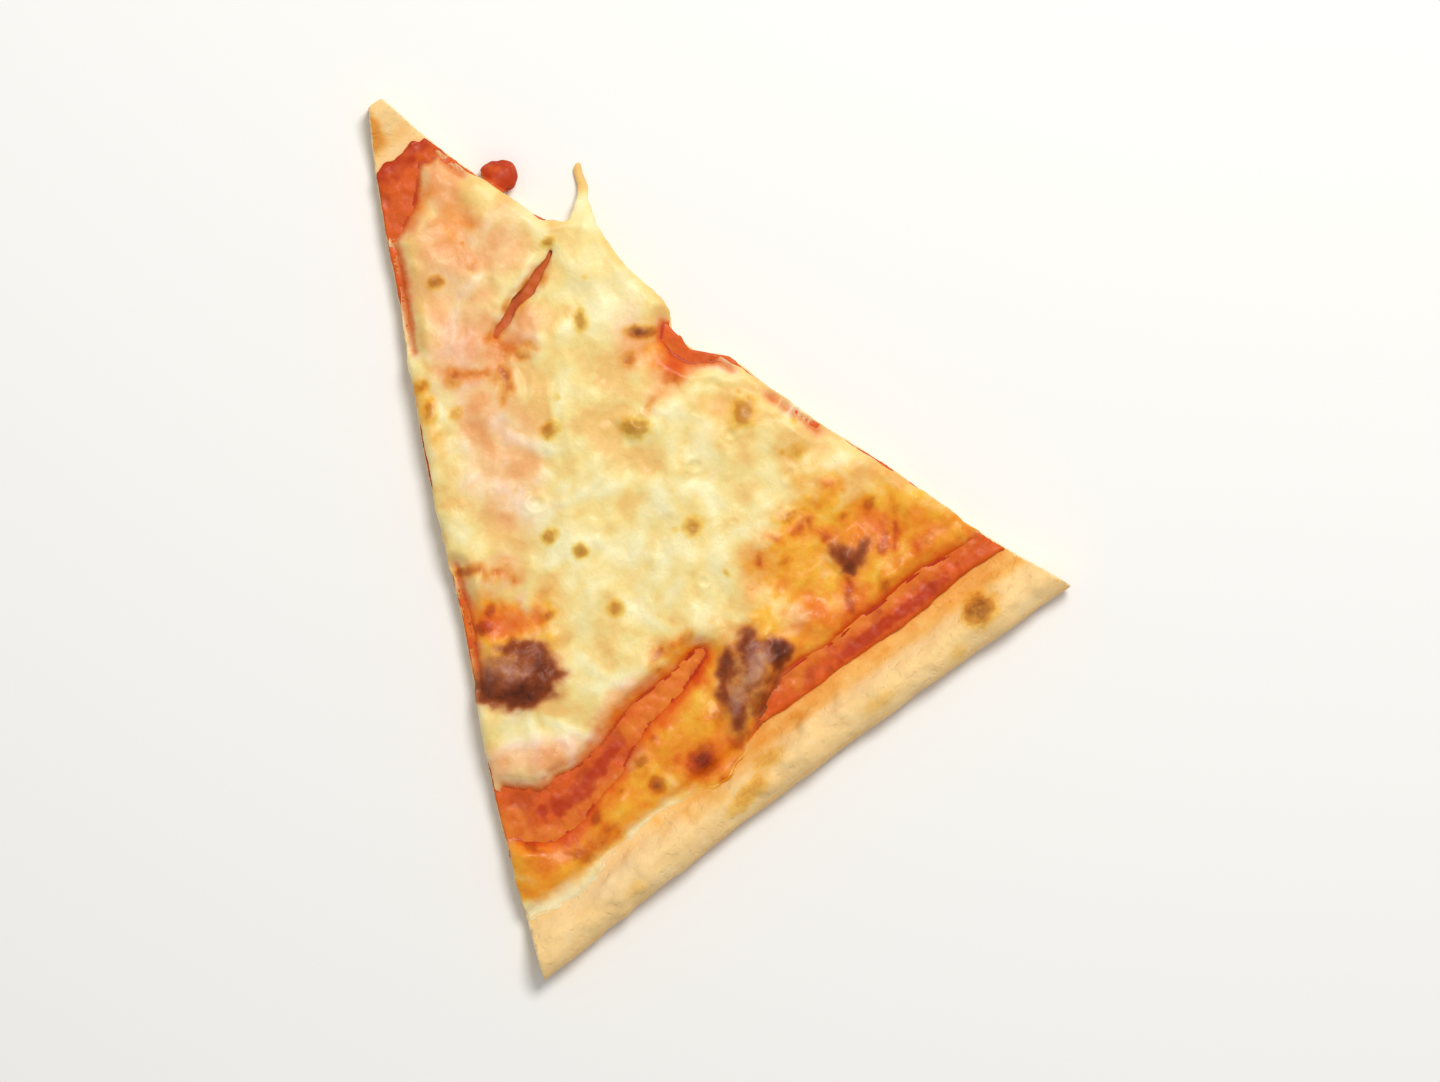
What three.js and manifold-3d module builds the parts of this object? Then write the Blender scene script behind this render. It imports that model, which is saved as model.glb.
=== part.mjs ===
// One slice of margherita pizza, cut from a long oblong pizza by two crossing knife cuts.
// Millimetres, +Z up. The tip points along -Y and the crust rim lies along +Y. The origin is on the
// flat underside, at the middle of the slice's box. The slice is three layers: baked dough with its
// rim, tomato sauce, and melted cheese with blisters.
import * as THREE from "three";
import { SimplexNoise } from "three/addons/math/SimplexNoise.js";
import { mergeVertices } from "three/addons/utils/BufferGeometryUtils.js";
import Module from "manifold-3d";

const wasm = await Module();
wasm.setup();
const { clamp, degToRad, lerp, radToDeg, seededRandom, smoothstep } = THREE.MathUtils;

// ---------- Driving dimensions ----------
const slice = { length: 154.4, crustWidth: 126.8, tipOffset: -11.9, tipWidth: 3.2 };
const cut = { hollow: 2.2, bulge: 2.5, wave: 0.5 }; // how far each cut strays from a straight line
const notch = { y: -4.6, width: 5, depth: 3.6 }; // torn edge of the hollow cut
const flap = { from: -40, peak: -34.2, to: -9, reach: 4.4, overhang: 2.6 }; // juts out beside it
const base = { thickness: 4.0 };
const rim = {
  width: 12.0, // foot to outer edge
  height: 9.0,
  heightVaries: 0.9,
  crest: 5.4, // from the outer edge to the highest line
  crestVaries: 1.0,
  edgeHeight: 3.5, // of the outermost line
  under: 4.2, // how far in the rounded underside reaches
  sag: 1.4, // hollow of the outer edge between its two corners
  skin: [{ size: 7, height: 0.4 }, { size: 3.4, height: 0.18 }], // its bumps
};
const tipCrust = { length: 10.4, height: 7.0 }; // scrap of the opposite rim, left on the tip
// Bubbles of the crumb that the cuts open. The ranges are half-lengths along the cut and upward.
const crumb = {
  perCut: 15,
  from: 0.1, // share of the way from the tip to the crust edge
  to: 0.975,
  scatter: 0.012,
  depth: 0.9,
  inRim: { along: [1.3, 2.3], tall: [0.9, 1.5], lowest: 3.0, underTop: 3.2 },
  inBase: { along: [1.0, 2.0], tall: [0.5, 0.8], lowest: 1.5, underTop: 1.3 },
};
const sauce = {
  thickness: 1.0,
  start: 10.8, // from the tip
  end: 13.0, // from the crust edge
  endWaves: [{ height: 0.55, turns: 5.2, shift: 0.6 }, { height: 0.3, turns: 13, shift: 0 }],
  inset: 0.15,
  lumps: { size: 4.2, height: 0.45 }, // where it lies bare
  roll: 1.4,
  shelf: 0.3,
};
const cheese = {
  thickness: 2.25,
  thinnest: 0.9,
  relief: [{ size: 17, height: 0.75 }, { size: 6.5, height: 0.32 }],
  start: 14.2, // from the tip, on the hollow cut, and on the bulging one
  farStart: 23,
  startWaves: [{ height: 0.5, turns: 6, shift: 0 }],
  end: 12.7, // from the crust edge, and how much more on the half that leaves the sauce bare
  bareBand: 5.3,
  endWaves: [{ height: 0.5, turns: 9, shift: 2 }, { height: 0.3, turns: 23, shift: 0 }],
  inset: 0.55,
  insetWave: { height: 0.35, turns: 31 },
  torn: 1.8, // further drawn in at the notch
  roll: 1.6,
  shelf: 0.55,
};
const wrinkles = { size: 3.2, share: 0.22 }; // on the blisters, as a share of their height
const gap = 0.06; // clearance between two layers
const bareMargin = 0.4; // from the end of the cheese to where the sauce's lumps begin
const halfLength = slice.length / 2;

// Blisters: place, half-lengths along and across, turn in degrees, height.
const blisters = [
  { x: 32.8, y: 26.2, along: 9.2, across: 6.2, turn: -37, height: 2.2 },
  { x: -3.3, y: 54.2, along: 9.8, across: 5.4, turn: 38, height: 1.9 },
  { x: -33.1, y: 45.9, along: 4.0, across: 3.4, turn: 30, height: 1.3 },
  { x: -32.9, y: 12.4, along: 3.6, across: 2.6, turn: 20, height: 0.7 },
  { x: -14.3, y: 2.3, along: 3.0, across: 2.6, turn: 0, height: 0.7 },
  { x: 24.8, y: 9.0, along: 6.4, across: 2.6, turn: -30, height: 0.8 },
];
// Thin cheese soaked with oil and tomato: centre, half-lengths, turn, and how much lower it lies.
const oilyPatches = [
  { x: -29, y: 45, along: 17, across: 10, turn: -4, drop: 0.8 },
  { x: 14, y: 56, along: 20, across: 5, turn: 4, drop: 0.5 },
  { x: 27, y: 18, along: 8, across: 5, turn: -30, drop: 0.7 },
  { x: 43, y: 57, along: 8, across: 4, turn: 0, drop: 0.7 },
  { x: -9, y: -49, along: 7, across: 4, turn: 10, drop: 0.6 },
];
// Openings in the cheese, where the sauce shows: a centre line and the half-widths along it.
const sauceChannel = {
  line: [
    [60, 45.5], [50, 47.2], [43.5, 50.6], [38, 52.4], [32, 51],
    [25, 49], [17, 47.2], [9, 46], [1, 44.5],
  ],
  halfWidths: [4.8, 4.6, 4.2, 3.9, 2.8, 2.1, 1.6, 1.2, 0.5],
};
const sauceCrack = {
  line: [[-22.3, -34.7], [-17.6, -32.2], [-12.3, -30.5], [-7.3, -29.1], [-2.9, -27.2]],
  halfWidths: [0.5, 1.1, 1.4, 1.2, 0.5],
};
const sauceDrop = { x: -22.4, y: -51.6, z: 3.0, radius: 3.7, flat: 0.56 };
// The string that the flap's cheese was pulled into, hanging from its corner to the table.
const cheeseString = {
  x: -28.2, y: -33.1, // its root, inside the flap
  heading: -127, // degrees from +X
  reach: 14,
  width: 5.0,
  endWidth: 2.2,
  thick: 1.4,
};

const noise = new SimplexNoise({ random: () => seededRandom() });

// ---------- Small helpers ----------
const sum = (values) => values.reduce((total, value) => total + value, 0);
const ripple = (x, y, size) => noise.noise(x / size, y / size);
const relief = (layers, x, y) => sum(layers.map(({ size, height }) => height * ripple(x, y, size)));
const waves = (list, s) =>
  sum(list.map(({ height, turns, shift }) => height * Math.sin(turns * s + shift)));
const steps = (count) => Array.from({ length: count + 1 }, (_, i) => i / count);

// How far (x, y) lies from a turned oval's middle: 0 at the middle and 1 on its outline.
function ovalDistance({ x: cx, y: cy, along, across, turn }, x, y) {
  const angle = degToRad(turn);
  const u = (x - cx) * Math.cos(angle) + (y - cy) * Math.sin(angle);
  const v = (y - cy) * Math.cos(angle) - (x - cx) * Math.sin(angle);
  return Math.hypot(u / along, v / across);
}

// ---------- Outline of the slice ----------
const bow = (t) => 1 - (2 * t - 1) ** 4; // 0 at both ends of a cut, 1 over its middle
const yAt = (t) => lerp(-halfLength, halfLength, t);
const tornAt = (y) => Math.exp(-(((y - notch.y) / notch.width) ** 4));
const flapAt = (y) =>
  smoothstep(y, flap.from, flap.peak) * (1 - clamp((y - flap.peak) / (flap.to - flap.peak), 0, 1));

function hollowCut(t) {
  const straight = lerp(slice.tipOffset - slice.tipWidth / 2, -slice.crustWidth / 2, t);
  const wave = cut.wave * Math.sin(23 * t);
  const torn = notch.depth * tornAt(yAt(t)) - flap.reach * flapAt(yAt(t));
  return straight + bow(t) * (cut.hollow + wave) + torn;
}

function bulgingCut(t) {
  const straight = lerp(slice.tipOffset + slice.tipWidth / 2, slice.crustWidth / 2, t);
  return straight + bow(t) * (cut.bulge + cut.wave * Math.sin(17 * t + 1));
}

// A point of the slice: s runs from -1 on the hollow cut to 1 on the bulging one, t from tip to crust.
function place(s, t) {
  const outer = halfLength - rim.sag * (1 - s * s);
  return {
    x: lerp(hollowCut(t), bulgingCut(t), (s + 1) / 2),
    y: lerp(-halfLength, outer, t),
    fromEdge: (1 - t) * (outer + halfLength),
    fromTip: t * (outer + halfLength),
  };
}
const rowFromEdge = (distance) => 1 - distance / slice.length;
const rowFromTip = (distance) => distance / slice.length;

// Distances from the tip, from one to another, close together beside the flap and the torn notch.
function rowDistances(from, to, count) {
  const even = steps(count).map((k) => lerp(from, to, k));
  const flapEdges = [flap.from, (flap.from + flap.peak) / 2, flap.peak];
  const notchEdges = [-6, -4, -2, 3, 5, 7].map((away) => notch.y + away);
  const extra = [...flapEdges, ...notchEdges].map((y) => y + halfLength);
  const clear = even.filter((distance) => extra.every((other) => Math.abs(distance - other) > 1.9));
  return [...clear, ...extra].sort((a, b) => a - b);
}

// ---------- Patches of surface ----------
// Each patch is a list of triangles, and each triangle a list of three Vector3.
function quads(grid, flip = false) {
  const faces = [];
  for (let j = 0; j + 1 < grid.length; j++)
    for (let i = 0; i + 1 < grid[j].length; i++) {
      const [a, b, c, d] = [grid[j][i], grid[j][i + 1], grid[j + 1][i + 1], grid[j + 1][i]];
      faces.push(flip ? [a, c, b] : [a, b, c], flip ? [a, d, c] : [a, c, d]);
    }
  return faces;
}

// A level face inside a loop of points that runs anticlockwise seen from above.
function levelFace(loop, facesUp) {
  const flat = loop.map((p) => new THREE.Vector2(p.x, p.y));
  return THREE.ShapeUtils.triangulateShape(flat, []).map(([a, b, c]) =>
    facesUp ? [loop[a], loop[b], loop[c]] : [loop[a], loop[c], loop[b]],
  );
}

// A wall between two rows of points, facing right of the way that the rows run.
const wall = (lower, upper) => quads([lower, upper]);

function geometryOf(faces) {
  const whole = faces.filter(([a, b, c]) => new THREE.Triangle(a, b, c).getArea() > 1e-7);
  const points = whole.flat();
  return new THREE.BufferGeometry().setFromPoints(points);
}

function solidOf(geometry) {
  const bare = geometry.index ? geometry.toNonIndexed() : geometry.clone();
  bare.deleteAttribute("normal");
  bare.deleteAttribute("uv");
  const merged = mergeVertices(bare, 1e-4);
  const corners = Array.from(merged.index.array);
  const triVerts = [];
  for (let i = 0; i < corners.length; i += 3) {
    const [a, b, c] = corners.slice(i, i + 3);
    if (a !== b && b !== c && a !== c) triVerts.push(a, b, c);
  }
  return new wasm.Manifold(
    new wasm.Mesh({
      numProp: 3,
      vertProperties: new Float32Array(merged.attributes.position.array),
      triVerts: new Uint32Array(triVerts),
    }),
  );
}

function meshOf(name, solid, material) {
  const { numProp, vertProperties, triVerts } = solid.getMesh();
  const positions = new Float32Array((vertProperties.length / numProp) * 3);
  for (let i = 0; i * numProp < vertProperties.length; i++)
    positions.set(vertProperties.subarray(i * numProp, i * numProp + 3), i * 3);
  const geometry = new THREE.BufferGeometry();
  geometry.setAttribute("position", new THREE.BufferAttribute(positions, 3));
  geometry.setIndex(new THREE.BufferAttribute(new Uint32Array(triVerts), 1));
  geometry.computeVertexNormals();
  const mesh = new THREE.Mesh(geometry, material);
  mesh.name = name;
  return mesh;
}

function ovalSolid(x, y, z, radii, turn = 0, detail = 2) {
  const geometry = new THREE.IcosahedronGeometry(1, detail);
  geometry.scale(...radii);
  geometry.rotateZ(degToRad(turn));
  geometry.translate(x, y, z);
  return solidOf(geometry);
}

// ---------- Dough ----------
function rimTop({ x, fromEdge }) {
  const height = rim.height + rim.heightVaries * ripple(x, 3, 21);
  const crest = rim.crest + rim.crestVaries * ripple(x, 40, 26);
  if (fromEdge < crest) {
    const arch = Math.sqrt(1 - (1 - fromEdge / crest) ** 2);
    return lerp(rim.edgeHeight, height, arch);
  }
  const slope = smoothstep(fromEdge, crest, rim.width);
  return lerp(height, base.thickness, slope);
}

function rimSkin(point) {
  const onRim = smoothstep(point.fromEdge, 0.3, 3) * smoothstep(rim.width - point.fromEdge, 0, 4);
  return rimTop(point) + onRim * relief(rim.skin, point.x, point.y);
}

function rimUnderside({ fromEdge }) {
  if (fromEdge >= rim.under) return 0;
  return rim.edgeHeight * (1 - Math.sqrt(1 - (1 - fromEdge / rim.under) ** 2));
}

function tipTop({ fromTip }) {
  const rise = 1 - smoothstep(fromTip, 0, tipCrust.length);
  return lerp(base.thickness, tipCrust.height, rise);
}

function doughBody() {
  const rimRows = [12, 11, 10, 8.9, 7.8, 6.6, 5.4, 4.2, 3, 2, 1.1, 0.4, 0];
  const flatRows = rowDistances(tipCrust.length, slice.length - rim.width, 20);
  const tipRows = steps(5).map((k) => rowFromTip(k * tipCrust.length));
  const columns = steps(40).map((k) => 2 * k - 1);
  const tipColumns = [-1, -0.5, 0, 0.5, 1];
  const at = (s, t, height) => {
    const point = place(s, t);
    return new THREE.Vector3(point.x, point.y, height(point));
  };
  const grid = (rows, across, height) => rows.map((t) => across.map((s) => at(s, t, height)));
  const rimT = rimRows.map(rowFromEdge);
  const underT = rimT.filter((t, k) => rimRows[k] <= rim.under);
  const flatT = flatRows.map(rowFromTip);

  const tip = grid(tipRows, tipColumns, tipTop);
  const top = grid(rimT, columns, rimSkin);
  const under = grid(underT, columns, rimUnderside);
  const level = (height) => (s) => flatT.slice(1, -1).map((t) => at(s, t, () => height));
  const upperCut = level(base.thickness);
  const middleLoop = [
    ...tip.at(-1),
    ...upperCut(1),
    ...top[0].toReversed(),
    ...upperCut(-1).toReversed(),
  ];
  const cutRows = [...tipRows, ...flatT.slice(1, -1), ...rimT];
  const skin = (point) => {
    if (point.fromEdge <= rim.width + 1e-6) return rimSkin(point);
    return point.fromTip < tipCrust.length ? tipTop(point) : base.thickness;
  };
  const side = (s, height) => cutRows.map((t) => at(s, t, height));
  const solesBefore = cutRows.filter((t) => t < underT[0] - 1e-9);
  const sole = (s) => solesBefore.map((t) => at(s, t, () => 0));
  const soleLoop = [
    ...tipColumns.map((s) => at(s, 0, () => 0)),
    ...sole(1).slice(1),
    ...under[0].toReversed(),
    ...sole(-1).slice(1).toReversed(),
  ];
  return geometryOf([
    ...quads(tip),
    ...levelFace(middleLoop, true),
    ...quads(top),
    ...quads(under, true),
    ...levelFace(soleLoop, false),
    ...wall(side(1, rimUnderside), side(1, skin)),
    ...wall(side(-1, skin), side(-1, rimUnderside)),
    ...wall(tipColumns.map((s) => at(s, 0, () => 0)), tip[0]),
  ]);
}

// Bubbles of the crumb that a cut has opened: small ovals sunk half-way into the cut face.
function crumbBubbles(s) {
  const heading = radToDeg(Math.atan2(slice.length, place(s, 1).x - place(s, 0).x));
  return steps(crumb.perCut - 1).map((k) => {
    const t = lerp(crumb.from, crumb.to, k) + crumb.scatter * (seededRandom() - 0.5);
    const point = place(s, t);
    const inRim = point.fromEdge < (rim.width * 2) / 3;
    const { along, tall, lowest, underTop } = inRim ? crumb.inRim : crumb.inBase;
    const highest = Math.max(lowest, (inRim ? rimTop(point) : base.thickness) - underTop);
    const radii = [lerp(...along, seededRandom()), crumb.depth, lerp(...tall, seededRandom())];
    return ovalSolid(point.x, point.y, lerp(lowest, highest, seededRandom()), radii, heading, 1);
  });
}

function doughSolid() {
  const bubbles = [...crumbBubbles(-1), ...crumbBubbles(1)];
  return bubbles.reduce((body, bubble) => body.subtract(bubble), solidOf(doughBody()));
}

// ---------- Layers laid on the dough ----------
const sauceFloor = base.thickness + gap;
const sauceTop = sauceFloor + sauce.thickness;
const cheeseFloor = sauceTop + gap;

// A layer with a level underside. line(s, k) gives its outline's columns, k from 0 at the tip end
// to 1 at the crust end, and height(x, y, toEdge) its top, toEdge being the way to the outline.
function layer(across, rows, line, floor, height) {
  const points = rows.map((k) => across.map((s) => line(s, k)));
  const ends = [...points[0], ...points.at(-1)];
  const edge = [...ends, ...points.map((row) => row[0]), ...points.map((row) => row.at(-1))];
  const toEdge = (p) => Math.min(...edge.map((q) => Math.hypot(q.x - p.x, q.y - p.y)));
  const lift = (p, z) => new THREE.Vector3(p.x, p.y, z);
  const top = points.map((row) => row.map((p) => lift(p, height(p.x, p.y, toEdge(p)))));
  const loopOf = (g) => [
    ...g[0],
    ...g.slice(1, -1).map((row) => row.at(-1)),
    ...g.at(-1).toReversed(),
    ...g.slice(1, -1).map((row) => row[0]).toReversed(),
  ];
  const upper = loopOf(top);
  const lower = upper.map((p) => lift(p, floor));
  const closed = (loop) => [...loop, loop[0]];
  return solidOf(
    geometryOf([...quads(top), ...wall(closed(lower), closed(upper)), ...levelFace(lower, false)]),
  );
}

// Positions from 0 to 1 that crowd towards both ends, so that rolled edges get enough faces.
const crowded = (count) => steps(count).map((k) => (1 - Math.cos(Math.PI * k)) / 2);

// A point between two distances, one from the tip and one from the crust edge, with both cut
// sides drawn in by insetAt(t).
function between(s, k, fromTip, fromEdge, insetAt) {
  const t = lerp(rowFromTip(fromTip), rowFromEdge(fromEdge), k);
  const point = place(s, t);
  const middle = (hollowCut(t) + bulgingCut(t)) / 2;
  const half = (bulgingCut(t) - hollowCut(t)) / 2;
  return { x: middle + (point.x - middle) * (1 - insetAt(t) / half), y: point.y };
}

// ---------- Sauce ----------
function sauceLine(s, k) {
  const end = sauce.end + waves(sauce.endWaves, s);
  return between(s, k, sauce.start, end, () => sauce.inset);
}

// How far an edge has risen at a distance from it: a quarter of a circle from 0 to 1.
const rolledAt = (toEdge, roll) => Math.sqrt(1 - (1 - clamp(toEdge / roll, 0, 1)) ** 2);

function sauceHeight(x, y, toEdge) {
  const bandStart = halfLength - cheese.end - cheese.bareBand + bareMargin;
  const tipEnd = cheese.start - halfLength - 2 * bareMargin;
  const inBand = smoothstep(y, bandStart, bandStart + 1) * smoothstep(-x, 14, 22);
  const inTip = 1 - smoothstep(y, tipEnd - 1.5, tipEnd - 0.5);
  const { size, height } = sauce.lumps;
  const lumps = height * (0.5 + 0.5 * ripple(x, y, size)) * Math.max(inBand, inTip);
  const atRim = smoothstep(y, bandStart - 1, bandStart + 1);
  const rolled = lerp(1, rolledAt(toEdge, sauce.roll), atRim);
  return lerp(sauceFloor + sauce.shelf, sauceTop, rolled) + lumps * rolled;
}

function sauceSolid(dough) {
  // The rows crowd at both ends, where the sauce lies bare and lumpy.
  const tipRows = [0, 0.011, 0.023];
  const coveredRows = steps(20).map((k) => lerp(0.05, 0.92, k));
  const bandRows = [0.935, 0.95, 0.962, 0.974, 0.985, 0.994, 1];
  const rows = [...tipRows, ...coveredRows, ...bandRows];
  const across = steps(28).map((k) => 2 * k - 1);
  const sheet = layer(across, rows, sauceLine, sauceFloor, sauceHeight);
  const { x, y, z, radius, flat } = sauceDrop;
  const drop = ovalSolid(x, y, z, [radius, radius, radius * flat]);
  return sheet.add(drop.subtract(dough.translate([-0.3, 0, gap])).subtract(dough));
}

// ---------- Cheese ----------
// It covers the sauce up to the rim's foot, and starts further from the tip on the bulging side.
function cheeseLine(s, k) {
  const away = lerp(cheese.start, cheese.farStart, smoothstep(s, -0.5, 1));
  const start = away + waves(cheese.startWaves, s);
  const bare = cheese.bareBand * smoothstep(-s, -0.05, 0.2);
  const end = cheese.end + bare + waves(cheese.endWaves, s);
  return between(s, k, start, end, (t) => {
    const torn = s < 0 ? cheese.torn * tornAt(yAt(t)) - flap.overhang * flapAt(yAt(t)) : 0;
    const { height, turns } = cheese.insetWave;
    return cheese.inset + height * Math.sin(turns * t + 2 * s) + torn;
  });
}

function cheeseHeight(x, y, toEdge) {
  let thickness = cheese.thickness + relief(cheese.relief, x, y);
  for (const patch of oilyPatches)
    thickness -= patch.drop * (1 - smoothstep(ovalDistance(patch, x, y), 0.5, 1.15));
  thickness = Math.max(thickness, cheese.thinnest);
  for (const blister of blisters) {
    const wrinkled = 1 + wrinkles.share * ripple(x, y, wrinkles.size);
    const dome = 1 - smoothstep(ovalDistance(blister, x, y), 0.25, 1.1);
    thickness += blister.height * wrinkled * dome;
  }
  return cheeseFloor + lerp(cheese.shelf, thickness, rolledAt(toEdge, cheese.roll));
}

// A slot along a centre line, tapered by its half-widths, tall enough to open the cheese.
function slot({ line, halfWidths }) {
  const centre = new THREE.CatmullRomCurve3(line.map(([x, y]) => new THREE.Vector3(x, y, 0)));
  const sides = [[], []];
  for (const k of steps(16)) {
    const at = centre.getPoint(k);
    const along = centre.getTangent(k);
    const index = Math.min(Math.floor(k * (halfWidths.length - 1)), halfWidths.length - 2);
    const half = lerp(halfWidths[index], halfWidths[index + 1], k * (halfWidths.length - 1) - index);
    const across = new THREE.Vector2(-along.y, along.x).setLength(half);
    const uneven = 1 + 0.25 * Math.sin(19 * k);
    sides[0].push(new THREE.Vector2(at.x + across.x * uneven, at.y + across.y * uneven));
    sides[1].unshift(new THREE.Vector2(at.x - across.x / uneven, at.y - across.y / uneven));
  }
  const tall = 8; // more than the cheese is thick
  const geometry = new THREE.ExtrudeGeometry(new THREE.Shape(sides.flat()), {
    depth: tall,
    bevelEnabled: false,
  });
  geometry.translate(0, 0, cheeseFloor - tall / 4);
  return solidOf(geometry);
}

// Rings of points around a curve, each an oval of its own width and thickness, closed at both ends.
function strand(route, widthAt, thicknessAt, rings, sides) {
  const grid = steps(rings).map((k) => {
    const centre = route.getPoint(k);
    const along = route.getTangent(k);
    const across = new THREE.Vector3(-along.y, along.x, 0).normalize();
    const upward = new THREE.Vector3().crossVectors(along, across);
    return steps(sides).map((turn) => {
      const angle = (turn % 1) * 2 * Math.PI;
      return centre
        .clone()
        .addScaledVector(across, (Math.cos(angle) * widthAt(k)) / 2)
        .addScaledVector(upward, (Math.sin(angle) * thicknessAt(k)) / 2);
    });
  });
  const fan = (ring, tip, flip) => quads([ring.map(() => tip), ring], flip);
  return solidOf(
    geometryOf([
      ...fan(grid[0], route.getPoint(0), false),
      ...quads(grid),
      ...fan(grid.at(-1), route.getPoint(1), true),
    ]),
  );
}

function stringSolid() {
  const { x, y, reach, heading, width, endWidth, thick } = cheeseString;
  const direction = new THREE.Vector3(Math.cos(degToRad(heading)), Math.sin(degToRad(heading)), 0);
  const start = new THREE.Vector3(x, y, cheeseFloor + 0.4 + thick / 2);
  const lowest = thick / 2 + 0.1;
  const heights = [start.z, start.z, 4.6, 2.3, lowest, lowest];
  const points = heights.map((z, i) =>
    start.clone().addScaledVector(direction, (i / 5) * reach).setZ(z),
  );
  const widthAt = (k) => lerp(width, endWidth, smoothstep(k, 0.1, 0.6)) * (k > 0.99 ? 0.6 : 1);
  return strand(new THREE.CatmullRomCurve3(points), widthAt, () => thick, 14, 10);
}

function cheeseSolid() {
  const across = crowded(38).map((k) => 2 * k - 1);
  const sheet = layer(across, crowded(60), cheeseLine, cheeseFloor, cheeseHeight);
  return sheet.subtract(slot(sauceChannel)).subtract(slot(sauceCrack)).add(stringSolid());
}

// ---------- The slice ----------
const doughFinish = new THREE.MeshStandardMaterial({ color: 0xf4d29a, roughness: 0.75, metalness: 0 });
const sauceFinish = new THREE.MeshStandardMaterial({ color: 0xbe3f1a, roughness: 0.35, metalness: 0 });
const cheeseFinish = new THREE.MeshStandardMaterial({ color: 0xf7da9b, roughness: 0.4, metalness: 0 });

const dough = doughSolid();
const pizzaSlice = new THREE.Group();
pizzaSlice.add(meshOf("dough", dough, doughFinish));
pizzaSlice.add(meshOf("sauce", sauceSolid(dough), sauceFinish));
pizzaSlice.add(meshOf("cheese", cheeseSolid(), cheeseFinish));

export default pizzaSlice;
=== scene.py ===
"""A slice of margherita pizza, seen from straight above.

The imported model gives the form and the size. Each of its three layers is copied, remeshed finely and
sculpted: the dough with its open crumb and bubbled rim, the pulpy sauce, and the melted cheese with
its browned spots, oily patches and dark blisters. Places on the slice are in millimetres in the
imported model's frame: x across, y from the tip to the crust rim, z up.
"""

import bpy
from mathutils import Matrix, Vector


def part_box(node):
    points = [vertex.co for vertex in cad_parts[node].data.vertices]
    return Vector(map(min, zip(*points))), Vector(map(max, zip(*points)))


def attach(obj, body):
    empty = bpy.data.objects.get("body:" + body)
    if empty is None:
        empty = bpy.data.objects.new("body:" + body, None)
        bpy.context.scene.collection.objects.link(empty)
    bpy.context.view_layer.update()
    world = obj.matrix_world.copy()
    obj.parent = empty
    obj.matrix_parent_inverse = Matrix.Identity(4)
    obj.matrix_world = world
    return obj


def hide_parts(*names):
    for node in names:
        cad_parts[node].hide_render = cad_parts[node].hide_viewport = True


bl_info = {
    "name": "Margherita pizza slice",
    "version": (1, 0, 0),
    "blender": (4, 5, 0),
    "location": "3D View > Sidebar > Pizza slice",
    "description": "Builds a detailed slice of pizza round the packed model",
    "category": "Add Mesh",
}

import math

import bpy
import numpy as np
from bpy.props import FloatProperty, FloatVectorProperty, IntProperty, PointerProperty
from mathutils import Matrix, Vector
from mathutils.bvhtree import BVHTree
from mathutils.kdtree import KDTree

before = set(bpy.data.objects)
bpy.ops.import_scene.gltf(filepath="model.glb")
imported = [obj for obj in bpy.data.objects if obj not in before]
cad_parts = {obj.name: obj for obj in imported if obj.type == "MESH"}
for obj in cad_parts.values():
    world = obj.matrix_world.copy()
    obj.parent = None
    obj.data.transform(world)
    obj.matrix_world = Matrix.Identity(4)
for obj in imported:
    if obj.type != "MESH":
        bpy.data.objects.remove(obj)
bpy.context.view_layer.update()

MM = 0.001
SLICE_LOW, SLICE_HIGH = (np.array(corner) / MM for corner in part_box("dough"))


# ---------- Numbers and colours ----------
def srgb(red, green, blue):
    """A colour as seen on a screen, 0 to 255, turned into the linear values that Blender takes."""
    parts = np.array([red, green, blue]) / 255
    return tuple(np.where(parts < 0.04045, parts / 12.92, ((parts + 0.055) / 1.055) ** 2.4))


def smoothstep(value, low, high):
    part = np.clip((value - low) / (high - low), 0, 1)
    return part * part * (3 - 2 * part)


def mix(a, b, share):
    return a + (b - a) * share


def over(seen, base):
    """The tint that turns the colour base into the colour seen when the two are multiplied."""
    return tuple(min(wanted / given, 1.0) for wanted, given in zip(seen, base))


class Noise:
    """Smooth repeatable noise, about -1 to 1, at many points at once."""

    def __init__(self, seed):
        generator = np.random.default_rng(seed)
        self.order = generator.permutation(256)
        slopes = generator.normal(size=(256, 3))
        self.slopes = slopes / np.linalg.norm(slopes, axis=1, keepdims=True)

    def __call__(self, points, size, octaves=1):
        total = np.zeros(len(points))
        for octave in range(octaves):
            total += self.layer(points * 2**octave / size + 17.3 * octave) / 2**octave
        return total

    def layer(self, points):
        cell = np.floor(points).astype(int)
        part = points - cell
        fade = part**3 * (part * (part * 6 - 15) + 10)
        total = np.zeros(len(points))
        for corner in np.ndindex(2, 2, 2):
            x, y, z = ((cell + corner) % 256).T
            slope = self.slopes[self.order[(self.order[(self.order[x] + y) % 256] + z) % 256]]
            weight = np.prod(np.where(corner, fade, 1 - fade), axis=1)
            total += weight * np.einsum("ij,ij->i", slope, part - corner)
        return 1.6 * total


def oval_distance(points, x, y, along, across, turn=0.0):
    """0 at the oval's middle and 1 on its outline, seen from above."""
    angle = math.radians(turn)
    dx = points[:, 0] - x
    dy = points[:, 1] - y
    u = dx * math.cos(angle) + dy * math.sin(angle)
    v = dy * math.cos(angle) - dx * math.sin(angle)
    return np.hypot(u / along, v / across)


def spots_mask(points, spots, soft, ragged=0.0, merged=False):
    """The highest of several soft ovals, each (x, y, along, across, turn if any, strength).

    When merged, neighbours add up and flow together.
    """
    mask = np.zeros(len(points))
    for *oval, strength in spots:
        away = oval_distance(points, *oval) + ragged
        spot = strength * (1 - smoothstep(away, 1 - soft, 1 + soft))
        mask = mask + spot - mask * spot if merged else np.maximum(mask, spot)
    return mask


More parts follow.
